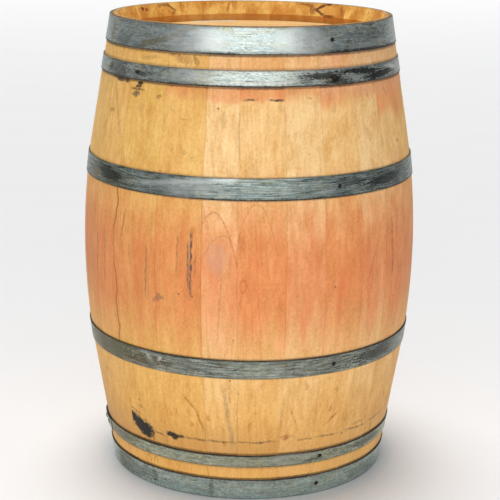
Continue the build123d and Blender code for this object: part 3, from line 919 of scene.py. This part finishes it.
# Marks on the bevel inside the top chime, by stave: colour, strength, from and to (azimuth, z), half width.
BEVEL_RADIUS = 0.287
BEVEL_MARKS = {
    14: [
        (MAROON, 0.90, 148.8, 936, 143.6, 947, 2.4), (MAROON, 0.85, 148.8, 937, 143.6, 924, 2.2),
        (COPPER, 0.60, 151.0, 945, 149.4, 926, 4.5), (NUT, 0.60, 157.0, 947, 150.5, 944, 1.8),
        (FRESH, 0.70, 145.4, 936, 143.4, 936, 5.0),
    ],
    13: [
        (MAROON, 0.85, 143.3, 948, 140.0, 949, 2.0), (MAHOGANY, 0.70, 143.3, 924, 137.0, 923, 2.0),
        (FRESH, 0.60, 143.0, 936, 136.0, 936, 8.0), (CARAMEL, 0.55, 134.4, 948, 132.5, 928, 2.6),
    ],
    17: [
        (CARAMEL, 0.60, 190.5, 947, 192.0, 925, 2.4),
    ],
    19: [
        (RUSSET, 0.75, 222.4, 947, 218.5, 934, 1.8), (RUSSET, 0.60, 218.5, 934, 220.5, 925, 1.6),
        (RUSSET, 0.60, 227.5, 946, 222.4, 946, 1.8),
    ],
    20: [
        (WINE, 0.95, 239.4, 944, 237.8, 940, 3.0), (WINE, 0.85, 236.6, 941, 235.4, 938, 2.4),
    ],
}

# How far each kind of mark breaks up along the grain.
BREAKS = {"line": 0.75, "arch": 0.6, "loop": 0.6, "blob": 0.5}


def bare_oak(t, number, g, grain):
    """A stave's planed face: yellow towards its ends and pink round the bilge."""
    (yellow, pink), bright, pinkness, band_low, *_ = stave_look(number)
    v = g.v
    ragged = t.add(t.fma(g.broad, 0.10, -0.05), t.fma(g.mottle, 0.06, -0.03), t.fma(g.middle, 0.04, -0.02))
    level = t.add(v, ragged)

    # The pink middle, with the deeper flush in it, and the pink band under the top quarter hoop.
    blush = t.mul(t.step(level, 0.25, 0.45), t.step(level, 0.71, 0.50))
    if band_low:
        low = t.add(v, t.fma(g.broad, 0.040, -0.020), t.fma(g.fine, 0.018, -0.009))
        low = t.add(low, t.fma(g.mottle, 0.03, -0.015))
        soft = 0.006 if number in (2, 3) else 0.016
        gap_share = 0.50 if 2 <= number <= 5 else 0.0
        band = t.mul(t.step(low, band_low - soft, band_low + soft), t.fma(g.mottle, 0.5, 0.55))
        band = t.mul(band, t.fma(t.step(v, 0.872, 0.862), 1.0 - gap_share, gap_share))
        blush = t.most(blush, t.mul(band, 0.85))
    blush = t.mul(blush, t.add(t.fma(g.broad, 0.7, 0.40), t.mul(g.mottle, 0.45)), pinkness)
    colour = t.mix(t.clamp(blush), linear(*yellow), linear(*pink))
    amber = t.mul(t.step(level, 0.40, 0.10), t.fma(g.mottle, 0.6, 0.45))
    colour = t.mix(t.clamp(amber), colour, linear(243, 178, 84))
    high = t.mul(t.step(v, 0.80, 0.90), t.fma(g.mottle, 0.5, 0.25), 0.7 if number < 2 else 0.25)
    colour = t.mix(t.clamp(high), colour, linear(238, 182, 100))
    if 5 <= number <= 8:
        colour = t.mix(t.mul(t.step(v, 0.80, 0.83), 0.35), colour, linear(244, 186, 150))
    colour = shaded(t, t.gain(colour, bright), g)
    # Painted light: the wood between the two lowest hoops is made paler, against their shadow.
    colour = t.gain(colour, t.fma(t.step(v, 0.075, 0.065), 0.14, 1.0))
    fresh = t.mul(t.step(v, 0.16, 0.10), 0.22 if 4 <= number <= 9 else 0.08)
    colour = t.mix(fresh, colour, linear(255, 208, 140))
    flame = t.noise(grain, (30.0, 9.0, 30.0), (number * 3.3, 2.0, 7.0), detail=5.0, roughness=0.62)
    flame = t.mul(t.step(flame, 0.46, 0.66), t.clamp(blush), 0.50)
    return t.mix(flame, colour, t.gain(linear(234, 126, 70)[:3], bright))


def inside_ends(t, colour, g, bright):
    """Inside the ends the bevel and howel are fresh amber wood, the howel with painted shade, and below the
    head the wall is toasted.
    """
    v, w = g.v, g.w
    flat_end = t.most(t.step(v, 0.9480, 0.9492), t.step(v, 0.0020, 0.0008))
    inside = t.most(t.step(w, 0.0095, 0.0125), flat_end)
    cut_face = t.mix(t.step(g.mottle, 0.36, 0.66), linear(226, 158, 66), linear(255, 204, 108))
    cut_face = t.mix(t.step(g.middle, 0.60, 0.72), cut_face, linear(200, 126, 52))
    cut_face = t.gain(cut_face, t.fma(flat_end, -0.30, bright))
    colour = t.mix(inside, colour, shaded(t, cut_face, g, streaks=0.5))
    # Painted shade, with a duller tone, in the howel under the bevel.
    howel_shade_and_tone = t.mul(inside, t.step(v, 0.924, 0.921), t.step(v, 0.30, 0.50))
    dull = t.gain(linear(204, 136, 60)[:3], t.fma(g.mottle, 0.6, 0.65))
    colour = t.mix(t.mul(howel_shade_and_tone, 0.75), colour, dull)
    rim_dirt = t.mul(t.step(w, 0.0085, 0.0040), flat_end, t.step(g.mottle, 0.25, 0.6))
    colour = t.mix(t.mul(rim_dirt, 0.85), colour, linear(74, 46, 26))
    toast = t.mul(t.step(w, 0.020, 0.024), t.step(v, 0.046, 0.052), t.step(v, 0.904, 0.898))
    toasted = t.gain(linear(92, 52, 34)[:3], t.fma(g.broad, 0.8, 0.6))
    return t.mix(toast, colour, toasted), inside


def stave_dirt(t, colour, number, g, grain, edge, outside):
    """Joint dirt and painted joint shade, painted shadow and dirt at the hoops' edges, foot grime, stains and
    specks.
    """
    v = g.v
    patchy = t.noise(grain, (3.0, 14.0, 3.0), (number * 2.7, 5.0, 1.0), detail=3.0)
    seam = t.mul(t.step(edge, 0.0009, 0.0002), t.step(patchy, 0.25, 0.75), 0.35)
    colour = t.mix(t.clamp(seam), colour, BROWN)
    # Painted shade beside the joints, fading over about a centimetre.
    seam_shade = t.mul(t.step(edge, 0.010, 0.001), t.step(patchy, 0.50, 0.80), 0.10, outside)
    colour = t.mix(t.clamp(seam_shade), colour, BROWN)
    ragged_edge = t.fma(t.noise(grain, (110.0, 0.0, 0.0), (number, 2.0, 0.0), detail=4.0), 0.0060, -0.0030)
    # Painted shadow mixed with dirt in a ragged line along each hoop's edges, strongest on the edge towards
    # the bilge.
    shadows = []
    for low, high, *_ in HOOPS.values():
        near_bilge = 0.25 < low < 0.7
        reach = 0.0032 if near_bilge else 0.0058
        for z, wet in ((low, low > 0.4), (high, low < 0.4)):
            if z > 0.947 or z < 0.003:
                continue
            strength = (0.6 if near_bilge else 1.0) if wet else 0.35
            off = t.absolute(t.add(t.sub(v, z), ragged_edge))
            shadows.append(t.mul(t.step(off, reach, reach * 0.4), strength))
    shadow = t.mul(reduce(t.most, shadows), t.fma(patchy, 0.9, 0.25), outside)
    colour = t.mix(t.clamp(shadow), colour, linear(62, 40, 24))
    grime = t.mul(t.step(v, 0.19, 0.11), t.step(v, 0.05, 0.09), t.fma(g.mottle, 0.5, 0.05), outside)
    grime = t.mul(grime, 0.3 if 4 <= number <= 9 else 1.0)
    colour = t.mix(t.clamp(grime), colour, linear(176, 120, 66))
    seat = (number * 5.1, number * 1.9, 0.0)
    stain = t.noise(grain, (34.0, 20.0, 34.0), seat, detail=5.0, roughness=0.62)
    faint = t.mul(t.step(stain, 0.54, 0.68), t.step(v, 0.60, 0.72), 0.30)
    low_spots = t.mul(t.step(stain, 0.60, 0.68), t.step(v, 0.30, 0.22), t.step(v, 0.06, 0.10), 0.55)
    colour = t.mix(t.mul(faint, outside), colour, linear(196, 136, 70))
    colour = t.mix(t.mul(low_spots, outside), colour, linear(206, 122, 46))
    distance, (_, chance, size) = t.cells(grain, (46.0, 34.0, 0.0), seat)
    size = t.fma(size, 0.05, 0.012)
    near_seed = t.add(distance, t.fma(g.fine, 0.20, -0.10))
    specks = t.mul(t.step(near_seed, t.add(size, 0.035), size), t.step(chance, 0.72, 0.74), 0.62, outside)
    return t.mix(t.clamp(specks), colour, UMBER)


def stave_marks(t, colour, height, number, g, grain, outside):
    """The marks of one stave's face, each a little sunk."""
    sway = t.fma(t.noise(grain, (60.0, 50.0, 10.0), detail=3.0), 0.0060, -0.0030)
    breaks = t.step(t.noise(grain, (300.0, 90.0, 60.0), detail=3.0), 0.34, 0.62)
    ragged = t.fma(t.noise(grain, (120.0, 130.0, 10.0), detail=4.0, roughness=0.65), 2.2, -1.1)
    ragged = t.add(ragged, t.fma(t.noise(grain, (420.0, 160.0, 10.0)), 0.9, -0.45))

    def at(azimuth, z):
        return across_at(number, azimuth, z / 1000), z / 1000

    for kind, tint, strength, *where in MARKS[number]:
        spread = t.mul(ragged, 0.55) if tint is BLACK else ragged
        mask = t.mark(g.u, g.v, at, kind, where, 0.0016, sway, spread)
        if kind != "blob" or tint is not BLACK:
            mask = t.mul(mask, t.fma(breaks, BREAKS[kind], 1 - BREAKS[kind]))
        colour = t.mix(t.mul(mask, strength, outside), colour, tint)
        height = t.add(height, t.mul(mask, -0.00012))
    return colour, height


def stave_material(number):
    """Oak of one stave: its bare wood, its ends, then its dirt with painted shade and shadow, and its marks.
    """
    look = stave_look(number)
    bright, (pith, cone, spacing) = look[1], look[4:]
    t = Tree(f"oak_stave_{number + 1:02d}")
    grain = t.attribute("grain")
    edge = t.parts(t.attribute("edge"))[0]
    g = wood_structure(t, grain, number + 1.0, pith, cone, spacing, KNOTS.get(number, ()))
    colour, inside = inside_ends(t, bare_oak(t, number, g, grain), g, bright)
    outside = t.sub(1.0, inside)
    colour = stave_dirt(t, colour, number, g, grain, edge, outside)
    height = wood_height(t, g)
    if number in (0, 25):
        # The split joint in front, with pale torn wood along it.
        crack = t.mul(t.step(edge, 0.0028, 0.0010), t.step(g.v, 0.24, 0.34), t.step(g.v, 0.70, 0.63))
        lost = t.step(t.absolute(t.sub(g.v, 0.512)), 0.020, 0.045)
        near_crack = t.step(g.u, 0.0, -0.01 if number == 0 else 0.01)
        crack = t.mul(crack, t.fma(lost, 0.7, 0.3), near_crack)
        colour = t.mix(t.mul(crack, 0.80), colour, linear(176, 104, 50))
    if number in MARKS:
        colour, height = stave_marks(t, colour, height, number, g, grain, outside)
    centre = (JOINTS[number] + JOINTS[number + 1]) / 2
    bend = t.fma(t.noise(grain, (110.0, 110.0, 10.0), detail=3.0), 0.006, -0.003)
    for tint, strength, a1, z1, a2, z2, half in BEVEL_MARKS.get(number, ()):
        start = (radians(a1 - centre) * BEVEL_RADIUS, z1 / 1000)
        stop = (radians(a2 - centre) * BEVEL_RADIUS, z2 / 1000)
        mask = t.line(g.u, g.v, start, stop, half / 1000, 0.0014, bend)
        colour = t.mix(t.mul(mask, strength, inside), colour, tint)
    roughness = t.add(0.50, t.mul(g.mottle, 0.14), t.mul(g.pore, 0.2), t.mul(inside, 0.1))
    return t.finish(colour, t.clamp(roughness), height, specular=0.42)


def head_material(sign, number):
    """Oak of one head board: paler than the staves, weathered a little where rain stands on it."""
    rng = Random(700 + number + (30 if sign < 0 else 0))
    side = "top" if sign > 0 else "bottom"
    t = Tree(f"oak_{side}_head_{number + 1}")
    pith = (rng.choice((-1, 1)) * rng.uniform(0.01, 0.2), rng.uniform(0.03, 0.06))
    cone, spacing = rng.uniform(0.01, 0.03), rng.uniform(0.003, 0.0042)
    g = wood_structure(t, t.attribute("grain"), 60.0 + number + 9 * (sign < 0), pith, cone, spacing)
    place = t.place()
    x, y, _ = t.parts(place)
    colour = t.mix(g.broad, linear(238, 184, 108), linear(246, 198, 128))
    colour = shaded(t, t.gain(colour, rng.uniform(0.95, 1.02)), g, rings=0.09)
    reach = t.reach(x, y)
    rim = t.mul(t.step(reach, 0.235, 0.262), t.step(g.mottle, 0.25, 0.7), 0.5)
    colour = t.mix(rim, colour, linear(186, 126, 66))
    cloud = t.noise(place, (9.0, 9.0, 9.0), (3.0, 1.0, 2.0), detail=4.0)
    damp = t.mul(t.step(cloud, 0.52, 0.66), t.step(reach, 0.25, 0.18), 0.22)
    colour = t.mix(damp, colour, linear(176, 138, 100))
    colour = t.mix(t.mul(t.step(g.w, 0.0006, 0.0022), 0.35), colour, BROWN)
    if sign > 0:
        # A pale whitish strip where the head meets the wall, at the back.
        sides = t.step(x, -0.135, -0.125), t.step(x, -0.028, -0.040), t.step(y, 0.0, 0.1)
        pale_strip = t.mul(t.step(reach, 0.214, 0.228), *sides)
        pale_strip = t.mul(pale_strip, t.step(g.fine, 0.30, 0.50), 0.85)
        colour = t.mix(pale_strip, colour, linear(226, 220, 200))
    roughness = t.add(0.55, t.mul(g.mottle, 0.16), t.mul(g.pore, 0.2))
    return t.finish(colour, t.clamp(roughness), wood_height(t, g), specular=0.4)


# How bright the zinc of each hoop is, and its dark and light tones as sRGB.
# Their brightness is partly painted light: the two lowest hoops are lighter to stand in for reflected floor
# light, the two highest to strengthen the lamp's highlight.
ZINC = {
    "head_hoop_bottom": (0.30, (82, 100, 98), (216, 232, 228)),
    "quarter_hoop_bottom": (0.10, (82, 90, 80), (216, 222, 202)),
    "bilge_hoop_bottom": (0.02, (70, 77, 70), (208, 214, 202)),
    "bilge_hoop_top": (-0.02, (58, 76, 76), (204, 214, 208)),
    "quarter_hoop_top": (0.14, (62, 78, 78), (220, 226, 220)),
    "head_hoop_top": (0.20, (68, 90, 92), (218, 226, 222)),
}

# Marks on the hoops: as on the staves, with the share of the strap's width from its lower edge for z.
# The wide pale blobs within 25 degrees of the front are painted highlight that widens the lamp's glint; the
# thin pale lines are scuffs.
HOOP_MARKS = {
    "head_hoop_top": [
        ("line", OLIVE, 0.55, -46.0, 0.12, -28.0, 0.62, 3.0),
        ("line", OLIVE, 0.45, -30.0, 0.60, -22.0, 0.95, 2.0), ("blob", OLIVE, 0.45, -68.0, 0.45, 14, 26, 0),
        ("blob", SCUFF_AND_GLINT, 0.60, -22.0, 0.50, 56, 26, 0), ("blob", SCUFF_AND_GLINT, 0.50, 20.0, 0.50, 50, 26, 0),
        ("blob", OIL, 0.30, 52.0, 0.55, 80, 18, 0), ("line", OIL, 0.85, 30.0, 0.02, 72.0, 0.02, 1.6),
        ("line", OIL, 0.60, -24.0, 0.02, -6.0, 0.02, 1.0), ("blob", SCUFF_AND_GLINT, 0.25, 52.0, 0.25, 50, 5, 4),
    ],
    "quarter_hoop_top": [
        ("blob", OIL, 0.92, 56.0, 0.36, 62, 8, 4), ("blob", OIL, 0.90, 46.0, 0.70, 62, 6, -4),
        ("blob", OIL, 0.75, 27.0, 0.62, 50, 7, 0), ("blob", OIL, 0.60, 33.0, 0.22, 34, 5, 0),
        ("blob", SCUFF_AND_GLINT, 0.60, 66.0, 0.66, 30, 4, -8), ("blob", OLIVE, 0.60, -65.0, 0.60, 12, 9, 0),
        ("blob", OIL, 0.40, -59.0, 0.45, 44, 20, 0), ("blob", OIL, 0.60, -44.0, 0.40, 18, 5, -10),
        ("blob", OIL, 0.85, 32.0, 0.40, 10, 7, 0), ("blob", SCUFF_AND_GLINT, 0.35, -24.0, 0.55, 36, 11, 0),
    ],
    "bilge_hoop_top": [
        ("line", SCUFF_AND_GLINT, 0.45, -46.0, 0.35, -22.0, 0.72, 1.8),
        ("line", SCUFF_AND_GLINT, 0.45, -22.0, 0.72, -4.0, 0.92, 1.8), ("blob", MOSS, 0.60, -58.0, 0.45, 100, 26, 0),
        ("blob", SCUFF_AND_GLINT, 0.30, -22.0, 0.45, 50, 16, 0), ("blob", OIL, 0.42, 58.0, 0.50, 110, 24, 0),
        ("blob", OIL, 0.70, 52.0, 0.48, 60, 11, 4), ("blob", OIL, 0.45, 36.0, 0.60, 40, 8, 0),
        ("blob", OLIVE, 0.60, -65.0, 0.30, 14, 9, 10), ("blob", OIL, 0.75, -56.0, 0.55, 42, 13, -8),
    ],
    "bilge_hoop_bottom": [
        ("line", SCUFF_AND_GLINT, 0.80, -31.8, 0.50, -30.4, 0.74, 0.8),
        ("line", SCUFF_AND_GLINT, 0.35, -36.4, 0.80, -34.2, 0.42, 0.8), ("blob", OLIVE, 0.60, -61.0, 0.50, 16, 15, 0),
        ("blob", LICHEN, 0.80, -58.0, 0.50, 120, 26, 0), ("blob", OIL, 0.32, -22.0, 0.50, 56, 18, 0),
        ("blob", MUD, 0.45, -36.0, 0.40, 60, 12, 0), ("blob", OIL, 0.40, 56.0, 0.50, 110, 24, 0),
        ("blob", OIL, 0.62, 50.0, 0.50, 66, 14, 0), ("blob", OIL, 0.26, 26.0, 0.50, 80, 20, 0),
    ],
    "quarter_hoop_bottom": [
        ("blob", OLIVE, 0.45, -66.0, 0.50, 10, 14, 0), ("blob", OIL, 0.35, -60.0, 0.50, 46, 9, 0),
        ("blob", KHAKI, 0.45, -60.0, 0.50, 90, 24, 0), ("blob", OIL, 0.55, 26.0, 0.30, 26, 4, 6),
        ("blob", OIL, 0.55, 56.0, 0.50, 64, 9, 0), ("blob", SCUFF_AND_GLINT, 0.18, 17.0, 0.60, 44, 12, 0),
        ("blob", OIL, 0.20, 40.0, 0.50, 50, 8, 0),
    ],
    "head_hoop_bottom": [
        ("blob", OLIVE, 0.45, -64.0, 0.45, 16, 16, 0), ("blob", OIL, 0.40, -54.0, 0.50, 80, 20, 0),
        ("blob", SAGE, 0.35, -62.0, 0.50, 50, 30, 0), ("blob", OIL, 0.35, -40.0, 0.50, 6, 18, 0),
        ("blob", OIL, 0.35, -14.0, 0.50, 5, 18, 0), ("blob", OIL, 0.30, 58.0, 0.50, 60, 14, 0),
    ],
}


def galvanised(hoop, seed):
    """Hot-dip zinc on a strap: spangled, drawn out in streaks, scuffed bright and dirty at its edges."""
    low, high = HOOPS[hoop][:2]
    width = high - low
    middle_r = float(outer_radius((low + high) / 2))
    bright, dark_zinc, light_zinc = ZINC[hoop]
    speck_share, drawn_share = (0.65, 1.40) if "bilge" in hoop else (1.45, 0.80)
    t = Tree(f"galvanised_{hoop}")
    girth, across, _ = t.parts(t.attribute("grain"))
    up = t.mul(across, width)
    shift = (seed * 1.7, seed * 2.9, seed * 0.7)
    place = t.placed(t.place(), (1.0, 1.0, 1.0), shift)
    cloth = t.vector(girth, up, 0.0)
    tone = t.cells(cloth, (80.0, 190.0, 1.0), shift)[1][0]
    cloud = t.noise(place, scale=15.0, detail=4.0, roughness=0.6)
    speck = t.noise(cloth, (190.0, 420.0, 0.0), shift, detail=3.0, roughness=0.65)
    drawn = t.noise(cloth, (26.0, 420.0, 0.0), shift, detail=3.0, roughness=0.6)
    hair = t.noise(cloth, (24.0, 900.0, 0.0), shift)
    streaks = t.mul(t.sub(speck, 0.5), speck_share), t.mul(t.sub(drawn, 0.5), drawn_share)
    value = t.add(bright, t.mul(tone, 0.20), t.mul(cloud, 0.50), *streaks)
    colour = t.mix(t.clamp(value), linear(*dark_zinc), linear(*light_zinc))
    scratch = t.mul(t.step(hair, 0.66, 0.74), t.step(cloud, 0.38, 0.6), 0.5)
    colour = t.mix(scratch, colour, linear(214, 220, 218))

    # White rust in blooms, brown dirt along both edges, darkest on the edge towards the bilge.
    bloom = t.noise(place, scale=34.0, detail=5.0, roughness=0.7)
    colour = t.mix(t.mul(t.step(bloom, 0.55, 0.72), 0.35), colour, linear(168, 180, 178))
    wet, dry = (across, t.sub(1.0, across)) if low > 0.4 else (t.sub(1.0, across), across)
    dirt = t.mul(t.step(t.add(wet, t.fma(speck, 0.05, -0.025)), 0.0032 / width, 0.0010 / width), 0.85)
    dirt = t.most(dirt, t.mul(t.step(dry, 0.0022 / width, 0.0004 / width), 0.5))
    stain = t.step(t.add(wet, t.fma(cloud, 0.9, -0.45)), 0.32, 0.0)
    colour = t.mix(t.mul(stain, 0.25), colour, linear(70, 64, 52))
    colour = t.mix(dirt, colour, linear(44, 38, 32))
    crud = t.step(t.add(wet, t.fma(speck, 0.20, -0.10)), 0.0050 / width, 0.0)
    colour = t.mix(t.mul(crud, t.step(cloud, 0.44, 0.56), 0.85), colour, linear(36, 32, 26))
    hue = t.noise(cloth, (34.0, 110.0, 0.0), shift, detail=5.0, roughness=0.62)
    warm, cool = t.tint(colour, (1.02, 1.0, 0.97)), t.tint(colour, (0.96, 1.03, 1.04))
    colour = t.mix(t.step(hue, 0.46, 0.66), warm, cool)
    colour = t.mix(t.mul(t.step(hue, 0.46, 0.32), 0.7), colour, t.tint(colour, (0.90, 0.84, 0.60)))
    rusty = t.mul(t.step(cloud, 0.56, 0.70), t.step(speck, 0.48, 0.62), 0.30)
    colour = t.mix(rusty, colour, linear(120, 92, 58))

    def at(azimuth, share):
        return radians(azimuth) * middle_r, share * width

    sway = t.fma(speck, 0.010, -0.005)
    ragged = t.add(t.fma(speck, 1.8, -0.9), t.fma(drawn, 1.2, -0.6))
    for kind, tint, strength, *where in HOOP_MARKS[hoop]:
        mask = t.mark(girth, up, at, kind, where, 0.005, sway, ragged)
        colour = t.mix(t.mul(mask, strength), colour, tint)
    dull = t.add(0.24, t.mul(cloud, 0.16), t.mul(tone, 0.08), t.mul(speck, 0.10), t.mul(dirt, 0.3))
    height = t.add(t.mul(cloud, 6e-4), t.mul(drawn, 8e-5), t.mul(speck, 8e-5), t.mul(hair, -2e-5))
    metal = t.clamp(t.sub(0.92, t.mul(dirt, 0.8)))
    return t.finish(colour, t.clamp(dull), height, metallic=metal)


def iron(name, dark, light, rough, metallic, scale):
    """Rusty iron or dulled steel, pitted and patchy."""
    t = Tree(name)
    place = t.place()
    patch = t.noise(place, scale=scale, detail=4.0, roughness=0.65)
    pit = t.noise(place, scale=scale * 6, detail=3.0, roughness=0.7)
    colour = t.mix(t.step(patch, 0.35, 0.65), dark, light)
    colour = t.gain(colour, t.fma(pit, 0.7, 0.65))
    return t.finish(colour, t.clamp(t.add(rough, t.mul(pit, 0.3))), t.mul(pit, 0.0003), metallic=metallic)


def plain_wood(name, light, dark, along):
    """Dowels, rushes and the bung: streaked along one axis of their grain, with a few darker lines."""
    t = Tree(name)
    stretch = [240.0, 240.0, 240.0]
    stretch[along] = 9.0
    vector = t.attribute("grain") if name == "bung_wood" else t.place()
    streak = t.noise(vector, tuple(stretch), detail=3.0)
    mottle = t.noise(vector, (26.0, 26.0, 26.0), detail=4.0)
    colour = t.gain(t.mix(streak, dark, light), t.fma(mottle, 0.5, 0.75))
    if name == "bung_wood":
        x, y, depth = t.parts(vector)
        rings = t.math("SINE", t.mul(t.add(x, t.mul(t.noise(vector, scale=40.0), 0.006)), 2200.0))
        colour = t.gain(colour, t.fma(rings, 0.05, 1.0))
        bruise = t.mul(t.step(t.reach(x, y), 0.018, 0.0245), t.step(mottle, 0.35, 0.65), 0.5)
        colour = t.mix(bruise, colour, linear(112, 60, 48))
        wet = t.mul(t.step(depth, 0.010, 0.020), 0.8)
        colour = t.mix(wet, colour, linear(104, 44, 48))
    return t.finish(colour, t.clamp(t.fma(mottle, 0.2, 0.5)), t.mul(streak, 0.0002))


# ---------------------------------------------------------------- the pieces


def build():
    for number in range(len(STAVE_WIDTHS)):
        name, mesh = make_stave(number)
        if number == BUNG_STAVE:
            mesh = cut_bung_hole(mesh)
        store_stave_grain(number, mesh)
        finish_mesh(f"{name}.oak", mesh, stave_material(number), "cask", [name])
    for sign in (1, -1):
        for number in range(len(BOARD_WIDTHS)):
            name, mesh = make_board(sign, number)
            oak = head_material(sign, number)
            finish_mesh(f"{name}.oak", mesh, oak, "cask", [name], sharp=25)
    for seed, hoop in enumerate(HOOPS):
        mesh = make_hoop(hoop)
        finish_mesh(f"{hoop}.strap", mesh, galvanised(hoop, seed + 1.0), "cask", [hoop])
    rust = iron("rusty_iron", linear(24, 20, 18), linear(60, 44, 36), 0.62, 0.35, 260.0)
    finish_mesh("hoop_nails.iron", make_nails(), rust, "cask", ["hoop_nails"], sharp=60)
    steel = iron("rivet_steel", linear(92, 100, 102), linear(176, 184, 184), 0.30, 0.85, 180.0)
    rivets = make_rivets()
    finish_mesh("hoop_rivets.steel", rivets, steel, "cask", ["hoop_rivets"], sharp=60)
    bung_wood = plain_wood("bung_wood", linear(214, 168, 112), linear(178, 128, 78), 1)
    finish_mesh("bung.wood", make_bung(), bung_wood, "bung", ["bung"])
    dowel_wood = plain_wood("dowel_wood", linear(206, 164, 112), linear(160, 116, 72), 1)
    rush = plain_wood("rush", linear(176, 158, 96), linear(118, 98, 56), 0)
    for side in ("top", "bottom"):
        for kind, material in (("dowels", dowel_wood), ("rushes", rush)):
            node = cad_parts[f"{side}_head_{kind}"]
            node.data.materials.clear()
            node.data.materials.append(material)


build()

# ---------------------------------------------------------------- the studio


def area_light(name, place, target, size, power):
    data = bpy.data.lights.new(name, "AREA")
    data.shape = "RECTANGLE"
    data.size, data.size_y = size
    data.energy = power
    light = added(name, data)
    light.location = place
    light.rotation_euler = (Vector(target) - Vector(place)).to_track_quat("-Z", "Y").to_euler()


def make_floor():
    t = Tree("pale_floor")
    speckle = t.noise(t.place(), scale=3.0, detail=3.0)
    colour = t.mix(speckle, (0.86, 0.86, 0.86, 1.0), (0.89, 0.89, 0.89, 1.0))
    material = t.finish(colour, 0.8, specular=0.2)
    mesh = bpy.data.meshes.new("floor")
    mesh.from_pydata([(-40, -40, 0), (40, -40, 0), (40, 40, 0), (-40, 40, 0)], [], [(0, 1, 2, 3)])
    mesh.materials.append(material)
    floor = added("floor", mesh)


def make_studio():
    make_floor()
    world = bpy.data.worlds.new("studio")
    bpy.context.scene.world = world
    world.use_nodes = True
    world.node_tree.nodes["Background"].inputs[0].default_value = (0.97, 0.98, 1.0, 1.0)
    world.node_tree.nodes["Background"].inputs[1].default_value = 0.20
    area_light("key", (-0.10, -3.3, 1.65), (0, 0, 0.6), (4.2, 0.85), 50)
    area_light("backdrop", (0.0, 14.0, 5.5), (0, 0, 1.0), (26.0, 9.0), 480)
    sun = bpy.data.lights.new("overhead", "SUN")
    sun.energy = 2.15
    sun.angle = radians(35)
    overhead = added("overhead", sun)
    overhead.rotation_euler = (radians(-10), radians(-4), 0)
    bpy.context.scene.view_settings.view_transform = "Standard"


# The camera that took the photograph, as fitted to the cask's outline in it.
SENSOR = 36.0
FOCAL_PIXELS, FRAME_PIXELS = 1506.0, 500.0
SHIFT_X = 0.00246
CAMERA_PLACE = (0.0, -3.116, 1.2385)
CAMERA_PITCH, CAMERA_ROLL = 14.26, 0.585


def make_camera():
    data = bpy.data.cameras.new("camera")
    data.sensor_width = SENSOR
    data.lens = SENSOR * FOCAL_PIXELS / FRAME_PIXELS
    data.shift_x = SHIFT_X
    data.clip_end = 200.0
    camera = added("camera", data)
    pitch = Matrix.Rotation(radians(90.0 - CAMERA_PITCH), 4, "X")
    roll = Matrix.Rotation(radians(CAMERA_ROLL), 4, "Z")
    camera.matrix_world = Matrix.Translation(CAMERA_PLACE) @ (pitch @ roll)
    bpy.context.scene.camera = camera


make_studio()
make_camera()
